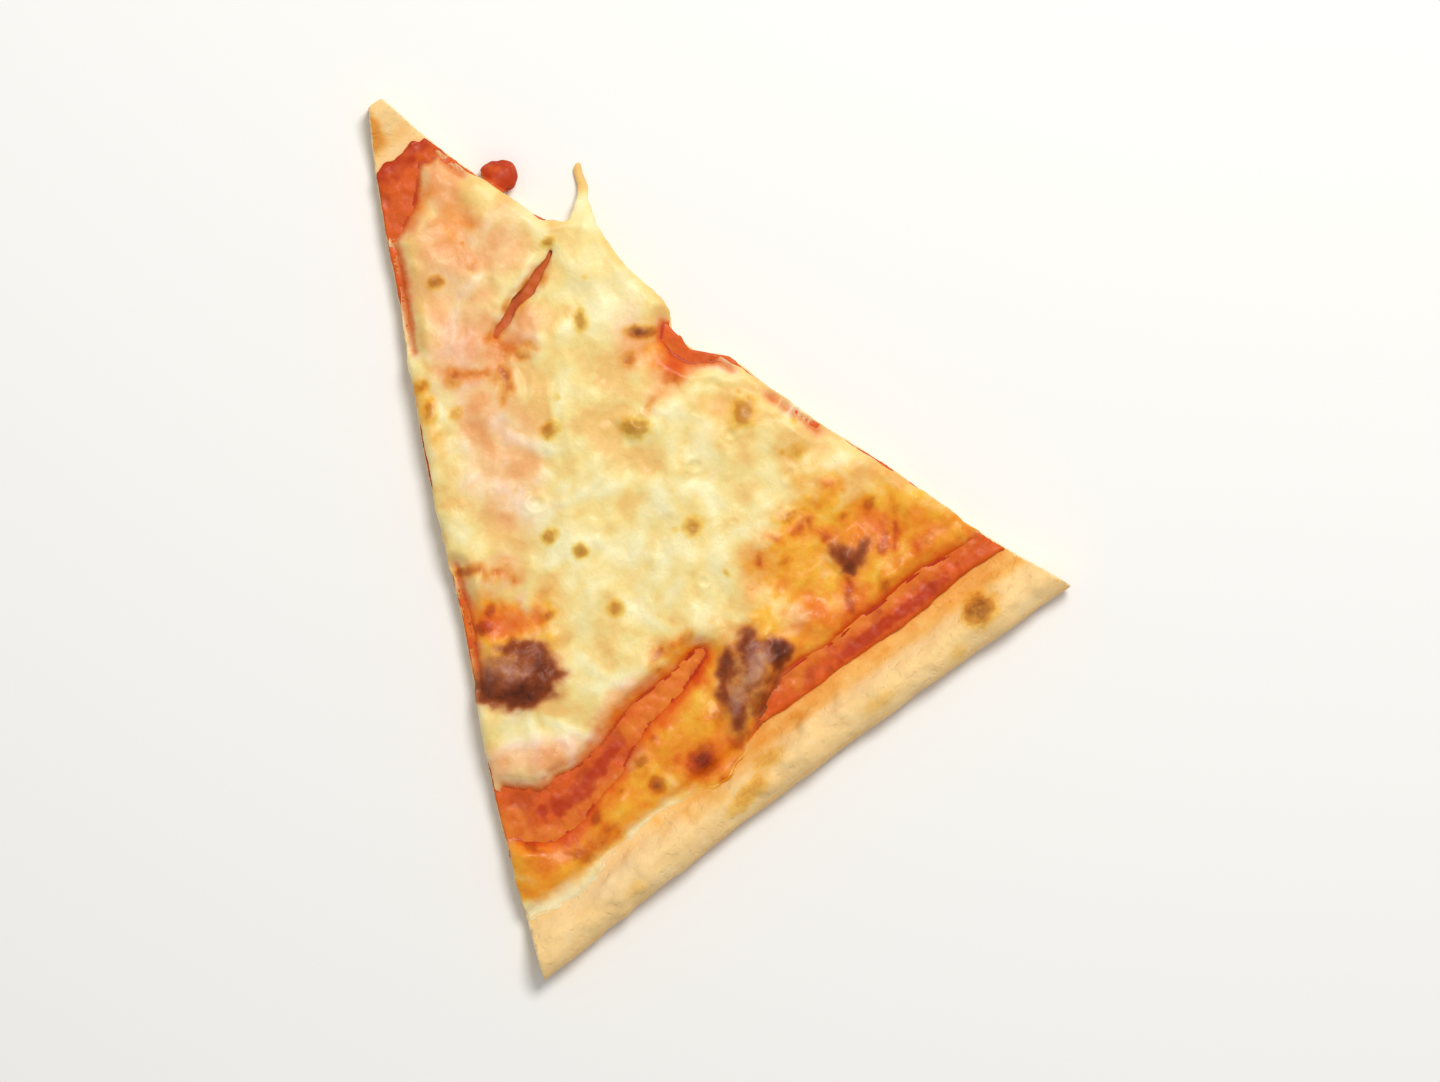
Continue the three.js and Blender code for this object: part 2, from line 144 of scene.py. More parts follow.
def wander(points, noise, far, size):
    """The points pushed about sideways, so that what is drawn at them gets an uneven outline."""
    pushed = points.copy()
    for axis in (0, 1):
        pushed[:, axis] += far * noise(points + 40 * (axis + 1), size, 2)
    return pushed


def line_distance(points, line, half_widths):
    """Millimetres from the sides of a stripe along a centre line: negative inside it."""
    line = np.array(line, float)
    nearest = np.full(len(points), np.inf)
    for index in range(len(line) - 1):
        start, end = line[index], line[index + 1]
        along = end - start
        share = np.clip((points[:, :2] - start) @ along / (along @ along), 0, 1)
        away = np.linalg.norm(points[:, :2] - start - share[:, None] * along, axis=1)
        half = mix(half_widths[index], half_widths[index + 1], share)
        nearest = np.minimum(nearest, away - half)
    return nearest


# ---------- Reading, moving and marking a mesh ----------
def read_mesh(mesh):
    """The places of the vertices, in millimetres, and their normals."""
    places = np.empty(len(mesh.vertices) * 3, np.float32)
    normals = np.empty_like(places)
    mesh.vertices.foreach_get("co", places)
    mesh.vertex_normals.foreach_get("vector", normals)
    return places.reshape(-1, 3).astype(float) / MM, normals.reshape(-1, 3).astype(float)


def write_points(mesh, points):
    mesh.vertices.foreach_set("co", (points * MM).astype(np.float32).ravel())
    mesh.update()


def write_masks(mesh, **masks):
    for name, values in masks.items():
        attribute = mesh.attributes.new(name, "FLOAT", "POINT")
        attribute.data.foreach_set("value", np.clip(values, 0, 1).astype(np.float32))


def activate(piece):
    bpy.ops.object.select_all(action="DESELECT")
    piece.select_set(True)
    bpy.context.view_layer.objects.active = piece


def apply_modifier(piece, kind, **settings):
    activate(piece)
    bpy.ops.object.modifier_add(type=kind)
    modifier = piece.modifiers[-1]
    for name, value in settings.items():
        setattr(modifier, name, value)
    bpy.ops.object.modifier_apply(modifier=modifier.name)


def fine_copy(node, name, voxel, smoothing):
    """A copy of a CAD node with its doubles merged, in small even faces and smoothed."""
    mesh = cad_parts[node].data.copy()
    mesh.materials.clear()
    piece = bpy.data.objects.new(name, mesh)
    bpy.context.scene.collection.objects.link(piece)
    activate(piece)
    bpy.ops.object.mode_set(mode="EDIT")
    bpy.ops.mesh.select_all(action="SELECT")
    bpy.ops.mesh.remove_doubles(threshold=0.001 * MM)
    bpy.ops.object.mode_set(mode="OBJECT")
    apply_modifier(piece, "REMESH", mode="VOXEL", voxel_size=voxel * MM, use_smooth_shade=True)
    apply_modifier(piece, "SMOOTH", factor=0.5, iterations=smoothing)
    return piece


def thin_out(piece, hidden, keep):
    """Merges faces where hidden, a flag for each vertex, is set, down to the share keep of them."""
    group = piece.vertex_groups.new(name="hidden")
    group.add(np.flatnonzero(hidden).tolist(), 1.0, "REPLACE")
    share = 1 - hidden.mean() * (1 - keep)
    apply_modifier(piece, "DECIMATE", ratio=share, vertex_group="hidden", vertex_group_factor=1.0)
    piece.vertex_groups.clear()


def level_faces(points, normals, level, facing):
    """Flags the points of a flat face at a height; facing is 1 for a top and -1 for an underside."""
    return (normals[:, 2] * facing > 0.97) & (np.abs(points[:, 2] - level) < 0.1)


def finish_piece(piece, node, material):
    piece.data.materials.append(material)
    piece.data.polygons.foreach_set("use_smooth", [True] * len(piece.data.polygons))
    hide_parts(node)
    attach(piece, "root")


# ---------- Places on the slice, in millimetres ----------
HALF_LENGTH = 77.2
DOUGH_TOP = 4.0
SAUCE_FLOOR = 4.06
CHEESE_FLOOR = 5.12
RIM_WIDTH = 12.0
RIM_SAG = 1.4
# Each cut: its x at the tip and at the rim, its bow between them, and the way it faces.
HOLLOW_CUT = (-13.5, -63.4, 2.2)
BULGING_CUT = (-10.3, 63.4, 2.5)
HOLLOW_CUT_NORMAL = np.array([-0.951, -0.308, 0])
BULGING_CUT_NORMAL = np.array([0.902, -0.431, 0])

# Openings in the cheese: centre line and half-widths along it. The channel goes on as a groove.
CHANNEL_LINE = [
    (60, 45.5), (50, 47.2), (43.5, 50.6), (38, 52.4), (32, 51),
    (25, 49), (17, 47.2), (9, 46), (1, 44.5),
]
CHANNEL_HALF_WIDTHS = [4.8, 4.6, 4.2, 3.9, 2.8, 2.1, 1.6, 1.2, 0.5]
GROOVE_HALF_WIDTHS = [5.0, 5.0, 4.8, 4.5, 4.2, 4.0, 3.6, 2.8, 1.2]
CRACK_LINE = [(-22.3, -34.7), (-17.6, -32.2), (-12.3, -30.5), (-7.3, -29.1), (-2.9, -27.2)]
CRACK_HALF_WIDTHS = [0.5, 1.1, 1.4, 1.2, 0.5]
# The sauce is darkest in this stretch of the channel and in the middle of its bare band by the rim.
DARK_STRETCH, DARK_HALF_WIDTHS = CHANNEL_LINE[2:6], [1.6, 1.8, 1.6, 1.2]
BARE_BAND_MIDDLE = (-31, 61.4)
# That band ends where the cheese begins to reach the rim, between these two x.
DRAPE_STARTS = (-1, 6)
# Brownish-pink veins in the cheese: centre line and strength.
VEINS = [
    ([(-2.9, -27.2), (-2.6, -24.6), (0.4, -21.4), (2.6, -17.1)], 0.8),
    ([(-2.6, -24.6), (-5.6, -22.2), (-8.4, -22.4)], 0.6),
    ([(0.4, -21.4), (4.6, -24.0), (7.8, -25.9)], 0.5),
    ([(-29.4, -2.8), (-25.8, -0.7), (-20.0, 0.9)], 0.5),
    ([(21.7, 11.4), (21.4, 9.4), (23.3, 7.4)], 0.62),
    ([(25.0, 6.6), (27.4, 6.0)], 0.6),
    ([(31.4, 14.6), (33.3, 11.9), (31.6, 8.6)], 0.4),
    (CRACK_LINE[1:], 0.8),
]
# Orange-brown outlines of bubbles that rose and sank again in the golden patches.
SCORCHES = [
    ([(-17.4, 37.4), (-20.8, 34.2), (-27.4, 37.1), (-32.1, 34.0), (-36.1, 31.9), (-40.0, 34.4)], 0.5),
    ([(-32.1, 34.6), (-30.8, 37.8), (-31.1, 41.4)], 0.85),
    ([(-38.1, 48.1), (-40.8, 46.3), (-43.3, 48.2), (-41.5, 50.7)], 0.85),
    ([(-30.3, 50.1), (-28.6, 52.4), (-27.4, 54.6)], 0.6),
    ([(-36.4, 52.6), (-40.6, 54.2), (-44.2, 52.6)], 0.45),
    ([(7.3, 59.6), (2.7, 64.0), (6.9, 65.7), (12.2, 63.7)], 0.6),
    ([(49.3, 53.4), (46.1, 58.2), (40.6, 61.3), (35.1, 61.1)], 0.62),
    ([(10.0, 42.6), (7.2, 40.2), (1.7, 40.5)], 0.7),
    ([(18.6, 57.6), (21.4, 54.8), (26.0, 55.4)], 0.5),
]

# The string of cheese that hangs from the flap, and the clear bubble beside the sauce band.
STRING_ROOT = (-28.2, -33.1)
STRING_HEADING = math.radians(-127)
STRING_HALF_WIDTH = 3
STRING_LOOSE = (5, 12)
CLEAR_BUBBLE = (-19.4, 51.8, 4.4, 4.2)

# Each spot: x, y, half-lengths along and across, turn in degrees where it has one, strength.
BROWN_BLISTERS = [
    (32, 26.8, 7.2, 6.2, -37, 0.6), (-3.2, 54.2, 9, 5, 42, 0.52), (-33.2, 46.6, 4.2, 3, 50, 0.3),
]
DARK_LOBES = [
    (33.6, 30.2, 5.4, 2.2, -37, 0.82), (38.6, 25.2, 2.6, 2.6, 20, 0.7), (27, 29.2, 2.8, 2.4, -37, 0.66),
    (29.2, 22.6, 3.4, 1.5, -37, 0.55), (25.4, 26, 1.8, 2.4, 0.5), (-11, 53, 2.8, 2.3, 60, 0.9),
    (-7, 48, 3.4, 1.9, 50, 0.62), (-0.6, 49.2, 3.6, 1.7, 50, 0.7), (3.2, 54, 3.4, 1.4, 70, 0.5),
    (3.6, 58.8, 2.8, 1.8, 30, 0.55), (-1.8, 60.6, 2.8, 1.5, 20, 0.5), (-6.6, 57.2, 2.8, 1.4, 40, 0.45),
    (-31.2, 45.6, 3.2, 1.5, 86, 0.6), (-34.2, 47.6, 3.5, 1.4, 18, 0.56), (-30.9, 48.2, 1.3, 1.1, 0.4),
]
# Painted highlights, a lilac grey, on the crests of the dark blisters.
CREST_HIGHLIGHTS = [
    (32.8, 25.2, 3.8, 2.4, -37, 0.6), (36, 24.2, 2.2, 1.5, -60, 0.4), (-5, 53, 4.4, 1.7, 25, 0.9),
    (1.2, 55.8, 3.6, 1.7, 25, 0.8), (-6.2, 50.4, 2.6, 1.3, 50, 0.6), (-33.8, 45.2, 1.6, 1.2, 50, 0.4),
]
# Thicker, paler cheese.
PALE_PATCHES = [
    (2, 26, 16, 11, 0.34), (-25, -23, 6, 9, 0.5), (-20, 18, 10, 8, 0.3),
    (12, -2, 6, 9, 0.16), (4, 9, 14, 7, 0.26), (40, 39, 9, 5, -30, 0.3),
]
TOASTED_SPOTS = [
    (-36.2, 40, 1.3, 1, 0.5), (-45, 44.4, 1.6, 1, 60, 0.45), (23.6, 9, 2.6, 1.2, 40, 0.3),
    (-32.9, 12.4, 2.9, 2.1, 20, 0.68), (-14.6, 2.6, 2.6, 1.8, -37, 0.7), (5.2, 56.4, 2.2, 1.8, 0.5),
    (-1, -7.1, 1.7, 1.5, 0.68), (11.2, 9.2, 1.5, 1.3, 0.68), (8.2, 15, 1.5, 1.3, 30, 0.72),
    (-12, 24.2, 1.9, 1.6, 20, 0.6), (9.5, 27.8, 1.6, 1.4, 0.64), (-21.2, -8.9, 1.9, 1.4, 0.52),
    (-26.2, -11.6, 2.6, 1.1, -37, 0.95), (-18.4, -20.3, 2, 1.2, 53, 0.66), (7.8, -25.9, 2, 1.4, 30, 0.5),
    (15.2, -23.6, 2.1, 1.3, 53, 0.6), (13.6, -28.4, 1.5, 1.2, 0.5), (11.4, -20.4, 1.4, 1.1, 0.4),
    (-0.4, -42.6, 1.4, 1.2, 0.78), (-8.2, -40.7, 1.5, 1.1, 40, 0.4), (-22.4, -35.8, 1.3, 1, 0.62),
    (-36.4, 24.7, 2, 1.6, 0.36), (23.3, 59.3, 1.7, 1.4, 0.85), (22.9, 54.3, 1.4, 1.1, 0.7),
    (18.2, 52, 1.2, 1, 0.5), (29.5, 56.4, 1.3, 0.9, 20, 0.5), (13.4, 59.9, 3, 1.8, 10, 0.9),
    (8, 63.4, 2, 1.1, 0.55), (36.4, 57.8, 1.6, 1, 30, 0.7), (43, 60.4, 2.6, 1.2, -20, 0.6),
    (-41.6, 40.9, 1.5, 1.1, 0.62), (-34.3, 55.6, 2.2, 1.1, 60, 0.5), (-27.6, 33.6, 3, 1.1, -25, 0.5),
    (-22, 40, 1.4, 1, 0.45), (32, 15.7, 1.7, 1.4, 0.75), (28.8, 13.9, 1.5, 1, 40, 0.7),
    (20.4, 21.3, 1.6, 1, 0.55), (28.4, 4.8, 1.8, 0.9, -37, 0.7), (4, 44.2, 3, 1.3, 15, 0.42),
]
# Golden patches, where oil and tomato have soaked into thin cheese and the foot of the rim.
OILY_PATCHES = [
    (-38, 46, 13, 8.5, -8, 0.72), (-23.5, 41.5, 9, 7, 30, 0.62), (-24.5, 50.5, 6, 5, 0.66),
    (-12, 48.6, 6, 4, 0.5), (-33, 35.6, 8, 4.6, 0.5), (-35, 29.6, 4.5, 4, 0.26),
    (-32, 11, 8, 5, 0.18), (24.6, 25, 3.6, 5, 0.4), (-30, 56, 20, 4.4, 0.78),
    (-47, 54, 9, 5.5, -10, 0.8), (-11, 56.5, 7, 5.4, 0.72), (12, 58, 15, 8.4, 6, 0.66),
    (31, 57, 12, 5.8, -6, 0.66), (48, 56.4, 9, 5.6, -10, 0.74), (51, 48, 6, 4.6, -10, 0.7),
    (11, 47.5, 14, 5.4, 8, 0.8), (29, 16.4, 8.6, 4.6, -37, 0.62), (20.5, 19.6, 4, 3, 0.4),
    (34.6, 22.5, 8.4, 6, -37, 0.4), (-10.4, -49.5, 5.5, 4, 10, 0.3), (-6.5, -57, 4.5, 3, 20, 0.34),
    (14.6, -26, 4, 2, 65, 0.4), (17.4, -18, 3, 1.8, 65, 0.3), (-28, -5, 5, 4, 0.5),
    (57, 60, 4, 3.4, 0.6),
]
# Pink and red, where the sauce shows through the cheese.
RED_PATCHES = [
    (27.6, 17.3, 4.8, 2.3, -37, 0.62), (22.6, 20, 2, 1.5, 0.45), (37.6, 20.4, 2.6, 1.6, -37, 0.4),
    (2.4, -28.4, 7.4, 5.6, 60, 0.36), (7.8, -25.9, 2.6, 1.8, 0.26), (9, -9, 12, 6, 65, 0.2),
    (8, -18, 6, 4, 65, 0.24), (-7.4, -25.6, 4, 2.4, 20, 0.32), (-7, -46, 5, 6, 0.26),
    (18, 42.6, 6, 2.2, 8, 0.24), (-13.6, -42, 6, 5, 0.16), (-3, -40, 5, 7, 20, 0.14),
    (-24, -12, 5, 3, 60, 0.16), (23, 9, 4, 2, 30, 0.16), (-29.5, -3.8, 4.4, 3, 0.72),
    (-12.6, -57.5, 2.6, 6, -20, 0.34), (-5, -56.4, 4.6, 2.2, 30, 0.4), (-9.6, -49, 4, 3, 0.24),
    (-19.4, 51.8, 3.8, 3.6, 0.26), (-34, 58.8, 17, 1.4, 0.5), (-9, 59.6, 6, 2, 0.6),
    (-29.2, 51.8, 1.6, 3, 10, 0.3), (44, 39, 6, 2.6, -10, 0.26), (35.5, 43.6, 6, 3, -25, 0.34),
    (14, 60, 5, 1.6, 10, 0.4), (42, 12, 3, 1.4, 60, 0.2),
]
CRUST_SPOTS = [
    (-46.2, 70, 3.4, 2.6, 10, 0.82), (-38, 74, 2.2, 1.4, 0.2), (10.6, 71.6, 5, 1.8, 12, 0.42),
    (3, 68.6, 3.6, 1.6, 0.3), (38, 73, 3, 1.6, 0.16), (-20, 72.4, 4, 1.6, 0.2),
]
# Where flour still lies on the rim.
FLOURY_PATCHES = [(43, 66.6, 15, 3.6, 0.9), (-24, 68, 9, 1.6, 0.3)]
# How far the golden edge of the cheese runs up the rim: x, half-length along it, millimetres.
DRAPES = [(12, 10, 3), (-1, 4, 1), (34, 7, 1.2), (48, 10, 3.2)]


def from_rim_edge(points):
    """Millimetres in from the rim's outer edge, which sags between its two corners."""
    outer = SLICE_HIGH[1] - RIM_SAG * (1 - (points[:, 0] / SLICE_HIGH[0]) ** 2)
    return outer - points[:, 1]


def from_cuts(points):
    """Millimetres in from the nearer of the two cuts."""
    share = np.clip(points[:, 1] / (2 * HALF_LENGTH) + 0.5, 0, 1)
    bow = 1 - (2 * share - 1) ** 4
    hollow, bulging = (mix(tip, rim, share) + most * bow for tip, rim, most in (HOLLOW_CUT, BULGING_CUT))
    return np.minimum(points[:, 0] - hollow, bulging - points[:, 0])


def beside_rim(points, start, full):
    """Rises from 0 to 1 towards the rim, at these distances from its edge, where cheese reaches it."""
    return smoothstep(from_rim_edge(points), start, full) * smoothstep(points[:, 0], *DRAPE_STARTS)


# ---------- Node graphs ----------
class Graph:
    """Adds nodes to a node tree and joins them up."""

    def __init__(self, tree):
        self.tree = tree

    def node(self, kind, inputs=None, **settings):
        """A new node; inputs maps a socket's name or number to a value or to another node's output."""
        made = self.tree.nodes.new(kind)
        for name, value in settings.items():
            setattr(made, name, value)
        for name, value in (inputs or {}).items():
            self.feed(made.inputs[name], value)
        return made

    def fill(self, node, **inputs):
        """Feeds a node's inputs; an underscore stands for the space in a socket's name."""
        for name, value in inputs.items():
            self.feed(node.inputs[name.replace("_", " ")], value)
        return node

    def feed(self, socket, value):
        if isinstance(value, bpy.types.NodeSocket):
            self.tree.links.new(value, socket)
        elif socket.type == "RGBA" and len(value) == 3:
            socket.default_value = (*value, 1)
        else:
            socket.default_value = value

    def place(self):
        return self.node("ShaderNodeTexCoord").outputs["Object"]

    def mask(self, name):
        return self.node("ShaderNodeAttribute", attribute_name=name).outputs["Fac"]

    def noise(self, size, detail=2.0, roughness=0.5, distortion=0.0):
        """Noise from 0 to 1 whose patches are about size millimetres across."""
        inputs = {
            "Vector": self.place(),
            "Scale": 1 / (size * MM),
            "Detail": detail,
            "Roughness": roughness,
            "Distortion": distortion,
        }
        return self.node("ShaderNodeTexNoise", inputs).outputs["Fac"]

    def math(self, operation, a, b):
        return self.node("ShaderNodeMath", {0: a, 1: b}, operation=operation).outputs[0]

    def step(self, value, low, high, start=0.0, end=1.0):
        """A smooth change from start at low to end at high."""
        inputs = {"Value": value, "From Min": low, "From Max": high, "To Min": start, "To Max": end}
        return self.node("ShaderNodeMapRange", inputs, interpolation_type="SMOOTHSTEP").outputs["Result"]

    def blend(self, share, a, b, kind="MIX"):
        inputs = {0: share, 6: a, 7: b}
        return self.node("ShaderNodeMix", inputs, data_type="RGBA", blend_type=kind).outputs[2]

    def ramp(self, value, *stops):
        """A colour for each value, blended between stops of (value, colour)."""
        made = self.node("ShaderNodeValToRGB", {"Fac": value})
        elements = made.color_ramp.elements
        elements[0].position, elements[1].position = stops[0][0], stops[-1][0]
        for position, _ in stops[1:-1]:
            elements.new(position)
        for element, (_, color) in zip(elements, stops):
            element.color = (*color, 1)
        return made.outputs["Color"]

    def multiply(self, color, tint):
        return self.blend(1.0, color, tint, "MULTIPLY")

    def stain(self, color, mask, base, *stops):
        """Darkens a colour where a mask is high; a stop is (value, what base turns into there)."""
        tints = [(value, over(seen, base)) for value, seen in stops]
        return self.multiply(color, self.ramp(mask, (0.0, (1, 1, 1)), *tints))

    def uneven(self, mask, size, amount):
        """A mask pushed up and down by noise, but left at zero where it is zero."""
        rough = self.math("MULTIPLY", self.math("SUBTRACT", self.noise(size, 3.0, 0.6), 0.5), amount)
        held = self.math("MULTIPLY", rough, self.step(mask, 0.0, 0.35))
        return self.math("ADD", mask, held)


def new_group(name, inputs, outputs):
    """An empty node group; inputs maps a name to its default, outputs a name to its socket type."""
    tree = bpy.data.node_groups.new(name, "ShaderNodeTree")
    for socket, default in inputs.items():
        kind = "NodeSocketColor" if isinstance(default, tuple) else "NodeSocketFloat"
        made = tree.interface.new_socket(socket, in_out="INPUT", socket_type=kind)
        made.default_value = (*default, 1) if isinstance(default, tuple) else default
    for socket, kind in outputs.items():
        tree.interface.new_socket(socket, in_out="OUTPUT", socket_type=kind)
    graph = Graph(tree)
    return graph, graph.node("NodeGroupInput").outputs, graph.node("NodeGroupOutput").inputs


def uneven_tone_group():
    """Shifts a colour up and down in broad patches and in fine grain."""
    inputs = {"Color": (1.0, 1.0, 1.0), "Patch Scale": 120.0, "Grain Scale": 900.0, "Strength": 0.1}
    graph, given, out = new_group("Uneven tone", inputs, {"Color": "NodeSocketColor"})
    place = graph.place()
    parts = []
    for scale, detail in (("Patch Scale", 2.0), ("Grain Scale", 3.0)):
        values = {"Vector": place, "Scale": given[scale], "Detail": detail}
        parts.append(graph.node("ShaderNodeTexNoise", values).outputs["Fac"])
    total = graph.math("SUBTRACT", graph.math("ADD", *parts), 1.0)
    factor = graph.math("ADD", graph.math("MULTIPLY", total, given["Strength"]), 1.0)
    values = {0: given["Color"], "Scale": factor}
    scaled = graph.node("ShaderNodeVectorMath", values, operation="SCALE")
    graph.feed(out["Color"], scaled.outputs[0])
    return graph.tree


def browning_group():
    """Tints a colour golden, then brown, then dark as Mask rises from 0 to 1."""
    inputs = {
        "Color": (1.0, 1.0, 1.0),
        "Mask": 0.0,
        "Golden": srgb(248, 230, 164),
        "Brown": srgb(212, 168, 92),
        "Dark": srgb(142, 94, 48),
    }
    graph, given, out = new_group("Browning", inputs, {"Color": "NodeSocketColor"})
    broken = graph.uneven(given["Mask"], 1.2, 0.4)
    tint = graph.blend(graph.step(broken, 0.02, 0.32), (1, 1, 1), given["Golden"])
    tint = graph.blend(graph.step(broken, 0.24, 0.6), tint, given["Brown"])
    tint = graph.blend(graph.step(broken, 0.6, 1.0), tint, given["Dark"])
    graph.feed(out["Color"], graph.multiply(given["Color"], tint))
    return graph.tree


def shared_group(name, build):
    return bpy.data.node_groups.get(name) or build()


def new_material(name):
    material = bpy.data.materials.new(name)
    material.use_nodes = True
    return material, Graph(material.node_tree), material.node_tree.nodes["Principled BSDF"]


def use_group(graph, tree, **inputs):
    return graph.fill(graph.node("ShaderNodeGroup", node_tree=tree), **inputs).outputs["Color"]


def uneven_tone(graph, color, patch, grain, strength):
    """A colour that varies in patches and grain of these sizes in millimetres."""
    tree = shared_group("Uneven tone", uneven_tone_group)
    scales = {"Patch_Scale": 1 / (patch * MM), "Grain_Scale": 1 / (grain * MM)}
    return use_group(graph, tree, Color=color, Strength=strength, **scales)


def browned(graph, color, mask):
    return use_group(graph, shared_group("Browning", browning_group), Color=color, Mask=graph.mask(mask))


def add_bump(graph, shader, height, distance):
    """Raises the surface where height is near 1, by distance in millimetres."""
    inputs = {"Height": height, "Distance": distance * MM, "Strength": 1.0}
    graph.fill(shader, Normal=graph.node("ShaderNodeBump", inputs).outputs["Normal"])


def add_depth(graph, shader, weight, radius, scale):
    """Lets light soak into the surface, by radius times scale in millimetres."""
    graph.fill(shader, Subsurface_Weight=weight, Subsurface_Radius=radius, Subsurface_Scale=scale * MM)


# ---------- Dough ----------
# Half-lengths of the crumb's bubbles in millimetres.
SMALLEST_BUBBLE, BIGGEST_IN_BASE, BIGGEST_IN_RIM = 0.35, 1.5, 2.0


def cut_mask(points, normals):
    """1 on the two cut faces and 0 on the baked skin."""
    facing = np.maximum(normals @ HOLLOW_CUT_NORMAL, normals @ BULGING_CUT_NORMAL)
    outer_face = smoothstep(normals[:, 1], 0.35, 0.6) * smoothstep(points[:, 1], 66, 70)
    tip_face = smoothstep(points[:, 1], -76.4, -76.9)
    return smoothstep(facing, 0.5, 0.78) * (1 - outer_face) * (1 - tip_face)


def open_crumb(points, normals, cut, settings, rng):
    """Depth in millimetres of the bubbles of many sizes that the two cuts open."""
    open_face = np.flatnonzero(cut > 0.6)
    face = points[open_face]
    along = np.stack([-normals[open_face, 1], normals[open_face, 0], 0 * open_face], axis=1)
    along /= np.maximum(np.linalg.norm(along, axis=1, keepdims=True), 1e-6)
    depth = np.zeros(len(face))
    for centre in rng.choice(len(face), settings.bubble_count, replace=False):
        in_rim = face[centre, 1] > SLICE_HIGH[1] - RIM_WIDTH + 1
        big = rng.random() ** 3
        biggest = BIGGEST_IN_RIM if in_rim else BIGGEST_IN_BASE
        half_long = mix(SMALLEST_BUBBLE, biggest, big) * settings.bubble_size
        half_tall = half_long * mix(0.75, 0.5, big)
        away = face - face[centre]
        u = np.einsum("ij,ij->i", away, along) / half_long
        w = away[:, 2] / half_tall
        across = (np.linalg.norm(away[:, :2], axis=1) / half_long) ** 2 - u**2
        round_part = 1 - u**2 - w**2 - np.maximum(across, 0)
        depth = np.maximum(depth, 0.75 * half_long * np.sqrt(np.maximum(round_part, 0)))
    full = np.zeros(len(points))
    full[open_face] = depth
    return full


def rim_blister_height(points, from_edge, settings, rng):
    height = np.zeros(len(points))
    for _ in range(settings.rim_blisters):
        x, away, size = rng.uniform(-58, 58), rng.uniform(1.5, 9.5), rng.uniform(0.9, 2.6)
        y = points[:, 1] + from_edge - away
        distance = oval_distance(points, x, y, size * 1.4, size, rng.uniform(-40, 40))
        height += 0.2 * size * (1 - smoothstep(distance, 0.2, 1.1))
    return height


def sculpt_dough(piece, settings):
    mesh = piece.data
    points, normals = read_mesh(mesh)
    rng = np.random.default_rng(5)
    noise = Noise(5)
    cut = cut_mask(points, normals)
    skin = 1 - cut
    from_edge = from_rim_edge(points)
    on_rim = 1 - smoothstep(from_edge, RIM_WIDTH - 3, RIM_WIDTH)
    on_tip = 1 - smoothstep(points[:, 1] - SLICE_LOW[1], 6, 10)
    baked_top = skin * np.maximum(on_rim, on_tip) * smoothstep(points[:, 2], 0.6, 2.4)
    brown = spots_mask(points, CRUST_SPOTS, 0.7, 0.25 * noise(points, 2.2, 2))
    relief = settings.skin_relief * (noise(points, 7.5, 2) + 0.35 * noise(points, 2.4, 2) - 0.6)
    relief += rim_blister_height(points, from_edge, settings, rng) + 0.3 * brown
    raise_by = baked_top * relief

    holes = open_crumb(points, normals, cut, settings, rng)
    raise_by -= cut * (holes + 0.14 * (noise(points, 1.3, 2) + 0.6))
    moved = points + normals * raise_by[:, None]
    flat_base = normals[:, 2] < -0.7
    moved[flat_base] = points[flat_base]
    write_points(mesh, np.clip(moved, SLICE_LOW, SLICE_HIGH))

    under = smoothstep(-normals[:, 2], 0.3, 0.8) * smoothstep(-points[:, 2], -3.0, -1.0)
    edge_bake = np.maximum(0.6 * (1 - smoothstep(from_edge, 0.0, 1.8)), under)
    crest_bake = 0.28 * smoothstep(noise(points, 9, 2), -0.1, 0.8) * on_rim
    by_bulging_cut = smoothstep(points[:, 0] + noise(points, 3.0, 2), -11.2, -8.6)
    by_sauce = smoothstep(points[:, 1] + noise(points, 4.0, 2), -71.5, -67.0)
    tip_bake = on_tip * np.maximum(by_bulging_cut, by_sauce)
    foot = smoothstep(from_edge, RIM_WIDTH - 4.2, RIM_WIDTH - 0.8) * smoothstep(from_edge, 17.0, 14.0)
    foot *= mix(1.3, 0.3, smoothstep(points[:, 0], 6, 24)) * (1 + 0.5 * noise(points, 4.5, 2))
    oil = spots_mask(points, OILY_PATCHES, 0.6, 0.35 * noise(points, 6.0, 3))
    write_masks(
        mesh,
        crumb=cut,
        flour=spots_mask(points, FLOURY_PATCHES, 0.8, 0.4 * noise(points, 5.0, 3)),
        # Painted shade: the crumb goes darker the deeper an opened bubble reaches.
        hole=holes / 1.2,
        brown=brown * skin,
        bake=skin * np.max([0.85 * edge_bake, crest_bake, 0.8 * tip_bake], axis=0),
        under=under * skin,
        oil=skin * np.max([oil, 0.6 * tip_bake, 0.5 * foot], axis=0),
    )


